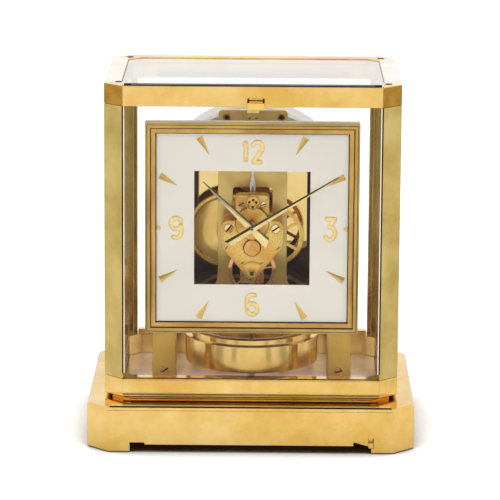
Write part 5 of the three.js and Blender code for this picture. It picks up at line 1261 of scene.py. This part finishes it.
class CLOCK_OT_train(bpy.types.Operator):
    """Cuts the toothed wheels of the going train and sets them on their arbors"""

    bl_idname = "clock.train"
    bl_label = "Wheels"

    def execute(self, context):
        tree = wheel_tree()
        pinion_phase = meshed(BARREL, 100, 0.0, SECOND, 30)
        motion_phase = meshed(CENTRE, 8, 0.0, MOTION, 48)
        hour_phase = meshed(CENTRE, 60, 0.0, MOTION, 30)
        smooth = 1e-4
        # Name, body, nodes replaced, teeth, root and tip radius, lean, phase, front,
        # thickness, arbor, bore, spokes with their width, phase, hub and rim, finish, slot
        for (
            name, body, node, teeth, root, tip, lean, phase, front, thick, arbor, hole,
            spokes, finish, slot,
        ) in [
            (
                "barrel_flange", "barrel", "barrel", 100, *toothed(100, TRAIN_MODULE), 0.0,
                0.0, 3.0, 2.0, BARREL, 19.0, None, "gilded_brass", "polished_brass",
            ),
            (
                "second_wheel_toothed", "second_wheel", "second_wheel", 82,
                *toothed(82, TRAIN_MODULE), 0.0, pinion_phase, 0.2, 1.0, SECOND, 0.9,
                (6, 2.0, math.pi / 6, 4.5, TRAIN_MODULE * 39.85 - 2.6),
                "gilded_brass", "polished_brass",
            ),
            (
                "second_pinion", "second_wheel", None, 30, *toothed(30, TRAIN_MODULE), 0.0,
                pinion_phase, 2.7, 2.6, SECOND, 0.9, None, "gilded_brass",
                "polished_brass",
            ),
            (
                "hour_wheel_toothed", "hour", "hour_wheel", 60, *toothed(60, HOUR_MODULE),
                0.0, 0.0, -35.4, 1.0, CENTRE, 1.25, None, "satin_gilding",
                "polished_brass",
            ),
            (
                "motion_pinion", "motion_wheel", "motion_wheel", 30,
                *toothed(30, HOUR_MODULE), 0.0, hour_phase, -35.4, 1.0, MOTION, 0.5,
                None, "gear_turned_gilding", "polished_brass",
            ),
            (
                "motion_wheel_toothed", "motion_wheel", None, 48,
                *toothed(48, CANNON_MODULE), 0.0, motion_phase, -29.7, 1.0, MOTION, 0.5,
                None, "gilded_brass", "polished_brass",
            ),
            (
                "escape_rim", "escape_wheel", "escape_wheel", 40, 15.5 - smooth, 15.5, 0.0,
                0.0, -23.4, 1.8, ESCAPE, 0.7, (5, 1.0, math.pi / 20, 2.4, 13.2),
                "copper_gilding", "copper",
            ),
            (
                "escape_teeth", "escape_wheel", None, 15, 6.6, 8.2, -0.25, 0.0, -20.8, 1.0,
                ESCAPE, 0.7, None, "polished_steel", "copper",
            ),
            (
                "escape_pinion", "escape_wheel", None, 16, *toothed(16, 0.70438), 0.0,
                escape_pinion_phase(), -27.6, 1.6, ESCAPE, 0.7, None, "polished_steel",
                "copper",
            ),
        ]:
            count, width, spoke_phase, hub, reach = spokes or (0, 1.0, 0.0, 1.0, 2.0)
            wheel = grown(
                name, tree,
                {
                    "Teeth": teeth, "Root Radius": root * MM, "Tip Radius": tip * MM,
                    "Lean": lean, "Phase": phase, "Rim Radius": reach * MM,
                    "Hub Radius": hub * MM, "Spokes": count, "Spoke Width": width * MM,
                    "Spoke Phase": spoke_phase, "Bore Radius": hole * MM,
                    "Thickness": thick * MM,
                    "Centre": (arbor[0] * MM, (front + thick) * MM, arbor[1] * MM),
                    "Material": finishes[finish]
                }
            )
            nodes = (node,) if node else ()
            settle(wheel, body, slot, finish, *nodes, sharp=25)
        # Turned pieces of the train: arbors, pipes, hubs and the barrel's domed drum
        cap = [
            (2.25, 2.2), (3.4, 2.2), (3.6, 1.9), (9.0, 1.75), (15.0, 1.9), (18.6, 2.15),
            (21.0, 2.45), (22.6, 2.9), (22.6, 3.2), (20.5, 3.2), (20.5, 14.0), (2.25, 14.0)
        ]
        for name, profile, arbor, body, finish, slot in [
            ("barrel_drum", cap, BARREL, "barrel", "barrel_turned_gilding", "polished_brass"),
            (
                "second_arbor", rod(1.0, -3.9, 21.9), SECOND, "second_wheel", "polished_steel",
                "steel"
            ),
            (
                "hour_pipe", [(1.25, -52.3), (2.0, -52.3), (2.0, -34.4), (1.25, -34.4)], CENTRE,
                "hour", "gilded_brass", "polished_brass"
            ),
            (
                "hour_hub", [(2.0, -36.0), (3.4, -36.0), (3.7, -35.4), (2.0, -35.4)], CENTRE,
                "hour", "gilded_brass", "polished_brass"
            ),
            (
                "motion_arbor", rod(0.8, -35.9, -16.3), MOTION, "motion_wheel",
                "polished_steel", "steel"
            ),
            (
                "motion_hub", [(0.8, -35.75), (1.7, -35.75), (1.9, -35.4), (0.8, -35.4)],
                MOTION, "motion_wheel", "gear_turned_gilding", "polished_brass"
            ),
            (
                "escape_arbor", rod(0.8, -33.7, -16.3), ESCAPE, "escape_wheel",
                "polished_steel", "steel"
            )
        ]:
            turned = spun(name, softened(profile, 0.15), "Y", arbor, 96)
            settle(turned, body, slot, finish)
        # Painted shade: dark rings behind the teeth of the two wheels in front of the cock, where
        # shade falls between their teeth
        for name, arbor, outer, inner, front, body in [
            ("hour_wheel_shade", CENTRE, 11.05, 9.4, -34.38, "hour"),
            ("motion_pinion_shade", MOTION, 5.75, 4.2, -34.38, "motion_wheel")
        ]:
            hoop = [(inner, front), (outer, front), (outer, front + 0.2), (inner, front + 0.2)]
            settle(spun(name, hoop, "Y", arbor, 72), body, "polished_brass", "painted_shade_black")
        return {"FINISHED"}


class CLOCK_OT_drum(bpy.types.Operator):
    """Turns the silvered drum, its cover and the corrugated bellows inside it"""

    bl_idname = "clock.drum"
    bl_label = "Drum and bellows"

    def execute(self, context):
        shell = [
            (4.0, 22.1), (64.0, 22.1), (66.0, 24.1), (66.0, 60.1), (64.5, 60.1), (64.5, 23.6),
            (4.0, 23.6)
        ]
        cover = [
            (0.0, 59.1), (62.6, 59.1), (62.6, 57.2), (64.2, 57.2), (64.2, 60.2), (66.0, 60.2),
            (65.4, 61.6), (64.6, 61.8), (46.0, 61.8), (45.2, 61.3), (43.4, 61.3), (42.6, 61.8),
            (0.0, 61.8)
        ]
        # Painted shade: a dark brown sheet laid over the drum's silvered front
        face = flat(
            "drum_shade_face",
            [
                [(x, min(z, 191.0)) for x, z in ring_points(62.5, DRUM, 96)],
                ring_points(4.6, DRUM, 32)
            ],
            21.8, 22.05, 0.05
        )
        settle(face, "case", "silvered_metal", "painted_shade_drum_face")
        folds = [(0.0, 35.1), (3.0, 35.1), (3.0, 40.1)]
        pitch = 20 / 3
        for fold in range(3):
            start = 40.1 + fold * pitch
            folds += [(50.0, start), (56.2, start + pitch * 0.42), (57.0, start + pitch / 2)]
            folds += [(56.2, start + pitch * 0.58)]
        folds += [(50.0, 60.1), (0.0, 60.1)]
        for name, profile, bend, node in [
            ("drum_shell", shell, 1.2, "drum_housing"), ("drum_lid", cover, 0.4, "drum_cover"),
            ("corrugated_bellows", folds, 0.8, "bellows")
        ]:
            piece = spun(name, softened(profile, bend), "Y", DRUM, 144)
            settle(piece, "case", "silvered_metal", "turned_silvered_metal", node)
        return {"FINISHED"}


class CLOCK_OT_pendulum(bpy.types.Operator):
    """Turns the pendulum's ring and staff"""

    bl_idname = "clock.pendulum"
    bl_label = "Pendulum"

    def execute(self, context):
        section = softened(
            [
                (33.0, 45.3), (43.5, 45.3), (43.5, 62.5), (39.5, 62.5), (39.5, 66.1),
                (33.0, 66.1)
            ],
            0.6
        )
        ring = spun("pendulum_ring_turned", section, "Z", PENDULUM_AXIS, 160)
        settle(ring, "pendulum", "polished_brass", "turned_polished_brass", "pendulum_ring")
        dress("pendulum_staff", "gilded_brass")
        return {"FINISHED"}


class CLOCK_OT_stage(bpy.types.Operator):
    """Sets the floor, the lights, the world and the camera"""

    bl_idname = "clock.stage"
    bl_label = "Stage"

    def execute(self, context):
        stage = context.scene.clock_stage
        scene = context.scene
        scene.view_settings.view_transform = "Standard"
        set_floor(stage)
        set_world(stage)
        for name, place, aim, width, height, radiance in [
            ("key", (-1.6, -1.9, 2.6), (0, 0, 0.12), 2.2, 1.6, stage.key),
            ("fill", (2.1, -1.2, 1.4), (0, 0, 0.12), 1.4, 1.8, stage.key * 0.6),
            ("overhead", (0.0, 0.3, 2.8), (0, 0, 0.1), 2.4, 2.4, stage.key * 0.7),
            ("low", (0.2, -2.2, 0.62), (0, 0, 0.11), 2.0, 0.5, stage.key * 1.4)
        ]:
            data = bpy.data.lights.new(name, "AREA")
            data.shape = "RECTANGLE"
            data.size = width
            data.size_y = height
            data.energy = radiance * math.pi * width * height
            lamp = bpy.data.objects.new(name, data)
            lamp.location = place
            direction = Vector(aim) - Vector(place)
            lamp.rotation_euler = direction.to_track_quat("-Z", "Y").to_euler()
            # Metal sees the room below, whose bright parts stand for the lamps
            lamp.visible_glossy = False
            scene.collection.objects.link(lamp)
        set_camera(stage)
        return {"FINISHED"}


def set_floor(stage):
    """A pale paper floor, wide enough to fill every view, with the clock's shadow on it and
    painted shadow besides: its colour turns dark brown where ambient occlusion finds the clock
    close by. A little light of its own, kept out of corners, brings it to white for the eye.
    Metal sees it as a painted reflection, a glowing sweep that is bright in front, has darker
    gaps between the lamps and is dimmed near the clock as painted shade."""
    tree = new_finish("white_paper_floor")
    known = chain(tree, {}, [
        ("where", "ShaderNodeTexCoord"),
        ("fibre", "ShaderNodeTexNoise", {"Vector": "where.Object", "Scale": 400.0}),
        ("tint", "ShaderNodeMix", {0: "fibre", 6: hexed("#E6E6E6"), 7: hexed("#E9E9E9")}, RGBA),
        ("open air", "ShaderNodeAmbientOcclusion", {"Distance": 0.09}, {"samples": 8}),
        ("deeper", "ShaderNodeMapRange", {
            "Value": "open air.AO", "From Min": 0.25, "From Max": 0.75}),
        # Painted shadow: the paper turns dark brown where ambient occlusion finds the clock close
        # by
        ("sunk", "ShaderNodeMix", {0: "deeper", 6: hexed("#4A3A28"), 7: "tint.2"}, RGBA),
        ("paper", "ShaderNodeBsdfDiffuse", {"Color": "sunk.2"}),
        ("own", "MULTIPLY", "deeper", stage.glow),
        ("ray", "ShaderNodeLightPath"),
        ("seen", "MAXIMUM", "ray.Is Camera Ray", "ray.Is Transmission Ray"),
        ("share", "MULTIPLY", "seen", "own"),
        ("light", "ShaderNodeEmission", {"Color": hexed("#FFFFFF"), "Strength": "share"}),
        ("both", "ShaderNodeAddShader", {0: "paper", 1: "light"}),
        # What metal sees, a painted reflection: the floor glows for glossy rays as a fan of bright
        # and darker sectors round the clock
        ("flat place", "ShaderNodeSeparateXYZ", {0: "where.Object"}),
        ("ahead", "MULTIPLY", "flat place.Y", -1.0),
        ("bearing", "ARCTAN2", "flat place.X", "ahead"),
        ("aside", "ABSOLUTE", "bearing"),
        ("turn", "DIVIDE", "aside", math.pi),
        ("sectors", "ShaderNodeValToRGB", {0: "turn"}),
    ])
    ramp = known["sectors"].color_ramp
    # Share of half a turn from straight ahead, and brightness there
    stops = [
        (0.0, 1.0), (0.12, 1.0), (0.14, 0.5), (0.165, 0.5), (0.185, 1.0), (0.24, 1.0),
        (0.27, 0.4), (0.32, 0.35), (0.36, 0.95), (0.4, 0.95), (0.45, 0.84), (0.54, 0.84),
        (0.58, 0.95), (0.63, 0.5), (0.7, 0.42), (0.76, 0.9), (1.0, 0.8),
    ]
    while len(ramp.elements) < len(stops):
        ramp.elements.new(1.0)
    for element, (position, bright) in zip(ramp.elements, stops):
        element.position = position
        element.color = (bright, bright, bright, 1.0)
    chain(tree, known, [
        ("radius", "ShaderNodeVectorMath", {0: "where.Object"}, {"operation": "LENGTH"}),
        ("away", "ShaderNodeMapRange", {
            "Value": "radius.Value", "From Min": 0.22, "From Max": 0.27}),
        ("fanned", "ShaderNodeMix", {0: "away", 6: hexed("#FFFFFF"), 7: "sectors"}, RGBA),
        ("sweep", "ShaderNodeEmission", {"Color": "fanned.2"}),
        # Painted shade: the sweep's glow dims where ambient occlusion finds the clock close by
        ("shaded", "MULTIPLY_ADD", "open air.AO", 0.75, 0.25),
    ])
    tree.links.new(known["shaded"].outputs[0], known["sweep"].inputs["Strength"])
    final = {0: "ray.Is Glossy Ray", 1: "both", 2: "sweep"}
    output(tree, chain(tree, known, [("final", "ShaderNodeMixShader", final)])["final"])
    half = 6000
    floor = mesh_object(
        "floor", [(*corner, 0) for corner in oblong(-half, half, -half, half)], [(0, 1, 2, 3)]
    )
    floor.data.materials.append(finishes["white_paper_floor"])
    bpy.context.scene.collection.objects.link(floor)


def set_world(stage):
    """White for the eye and an even light for matt surfaces. Metal sees a white room with a
    dark wall above the camera and a bright ceiling."""
    world = bpy.data.worlds.new("studio")
    bpy.context.scene.world = world
    world.use_nodes = True
    tree = world.node_tree
    tree.nodes.clear()
    chain(tree, {}, [
        ("where", "ShaderNodeTexCoord"),
        ("way", "ShaderNodeSeparateXYZ", {0: "where.Generated"}),
        # From 0 to 1: towards the camera's side, up from the horizon, and up to the ceiling
        ("side", "ShaderNodeMapRange", {"Value": "way.Y", "From Min": -0.1, "From Max": -0.45}),
        ("above", "ShaderNodeMapRange", {"Value": "way.Z", "From Min": 0.24, "From Max": 0.31}),
        ("below", "ShaderNodeMapRange", {"Value": "way.Z", "From Min": 0.9, "From Max": 0.8}),
        ("raised", "MULTIPLY", "side", "above"),
        ("wall", "MULTIPLY", "raised", "below"),
        ("mirrored", "ShaderNodeMapRange", {
            "Value": "wall", "To Min": 1.0, "To Max": stage.wall}),
        ("ray", "ShaderNodeLightPath"),
        ("seen", "MAXIMUM", "ray.Is Camera Ray", "ray.Is Transmission Ray"),
        ("plain", "ShaderNodeMapRange", {
            "Value": "seen", "To Min": stage.ambient, "To Max": 1.0}),
        ("strength", "ShaderNodeMix", {0: "ray.Is Glossy Ray", 2: "plain", 3: "mirrored"},
         {"data_type": "FLOAT"}),
        ("sky", "ShaderNodeBackground", {"Color": hexed("#FFFFFF"), "Strength": "strength"}),
        ("end", "ShaderNodeOutputWorld", {"Surface": "sky"}),
    ])


def set_camera(stage):
    """The photograph's camera: level, then turned by yaw, pitch and roll."""
    yaw, pitch, roll = stage.yaw, stage.pitch, stage.roll
    forward = Vector(
        (math.sin(yaw) * math.cos(pitch), math.cos(yaw) * math.cos(pitch), math.sin(pitch))
    )
    right = Vector((math.cos(yaw), -math.sin(yaw), 0))
    up = right.cross(forward)
    across = right * math.cos(roll) + up * math.sin(roll)
    rise = up * math.cos(roll) - right * math.sin(roll)
    data = bpy.data.cameras.new("photograph")
    data.lens = stage.lens
    data.sensor_width = 36.0
    data.clip_start = 0.05
    data.clip_end = 100.0
    camera = bpy.data.objects.new("photograph", data)
    turn = Matrix((across, rise, -forward)).transposed()
    camera.matrix_world = Matrix.Translation(stage.place) @ turn.to_4x4()
    bpy.context.scene.collection.objects.link(camera)
    bpy.context.scene.camera = camera


PIECES = (
    CLOCK_OT_case, CLOCK_OT_screws, CLOCK_OT_dial, CLOCK_OT_movement, CLOCK_OT_train,
    CLOCK_OT_drum, CLOCK_OT_pendulum, CLOCK_OT_stage
)
LOOKS = {
    "clock_case": CaseLook, "clock_dial": DialLook, "clock_movement": MovementLook,
    "clock_stage": StageLook
}


class CLOCK_PT_panel(bpy.types.Panel):
    """The clock's sizes, colours and pieces"""

    bl_idname = "CLOCK_PT_panel"
    bl_label = "Atmospheric clock"
    bl_space_type = "VIEW_3D"
    bl_region_type = "UI"
    bl_category = "Clock"

    def draw(self, context):
        for key, look in LOOKS.items():
            box = self.layout.box()
            for field in look.__annotations__:
                box.prop(getattr(context.scene, key), field)
        for operator in PIECES:
            self.layout.operator(operator.bl_idname)


def register():
    for look in LOOKS.values():
        bpy.utils.register_class(look)
    for key, look in LOOKS.items():
        setattr(bpy.types.Scene, key, PointerProperty(type=look))
    for operator in PIECES:
        bpy.utils.register_class(operator)
    bpy.utils.register_class(CLOCK_PT_panel)


def unregister():
    bpy.utils.unregister_class(CLOCK_PT_panel)
    for operator in reversed(PIECES):
        bpy.utils.unregister_class(operator)
    for key, look in reversed(LOOKS.items()):
        delattr(bpy.types.Scene, key)
        bpy.utils.unregister_class(look)


def main():
    register()
    make_finishes()
    for operator in PIECES:
        group, name = operator.bl_idname.split(".")
        getattr(getattr(bpy.ops, group), name)()


if __name__ == "__main__":
    main()
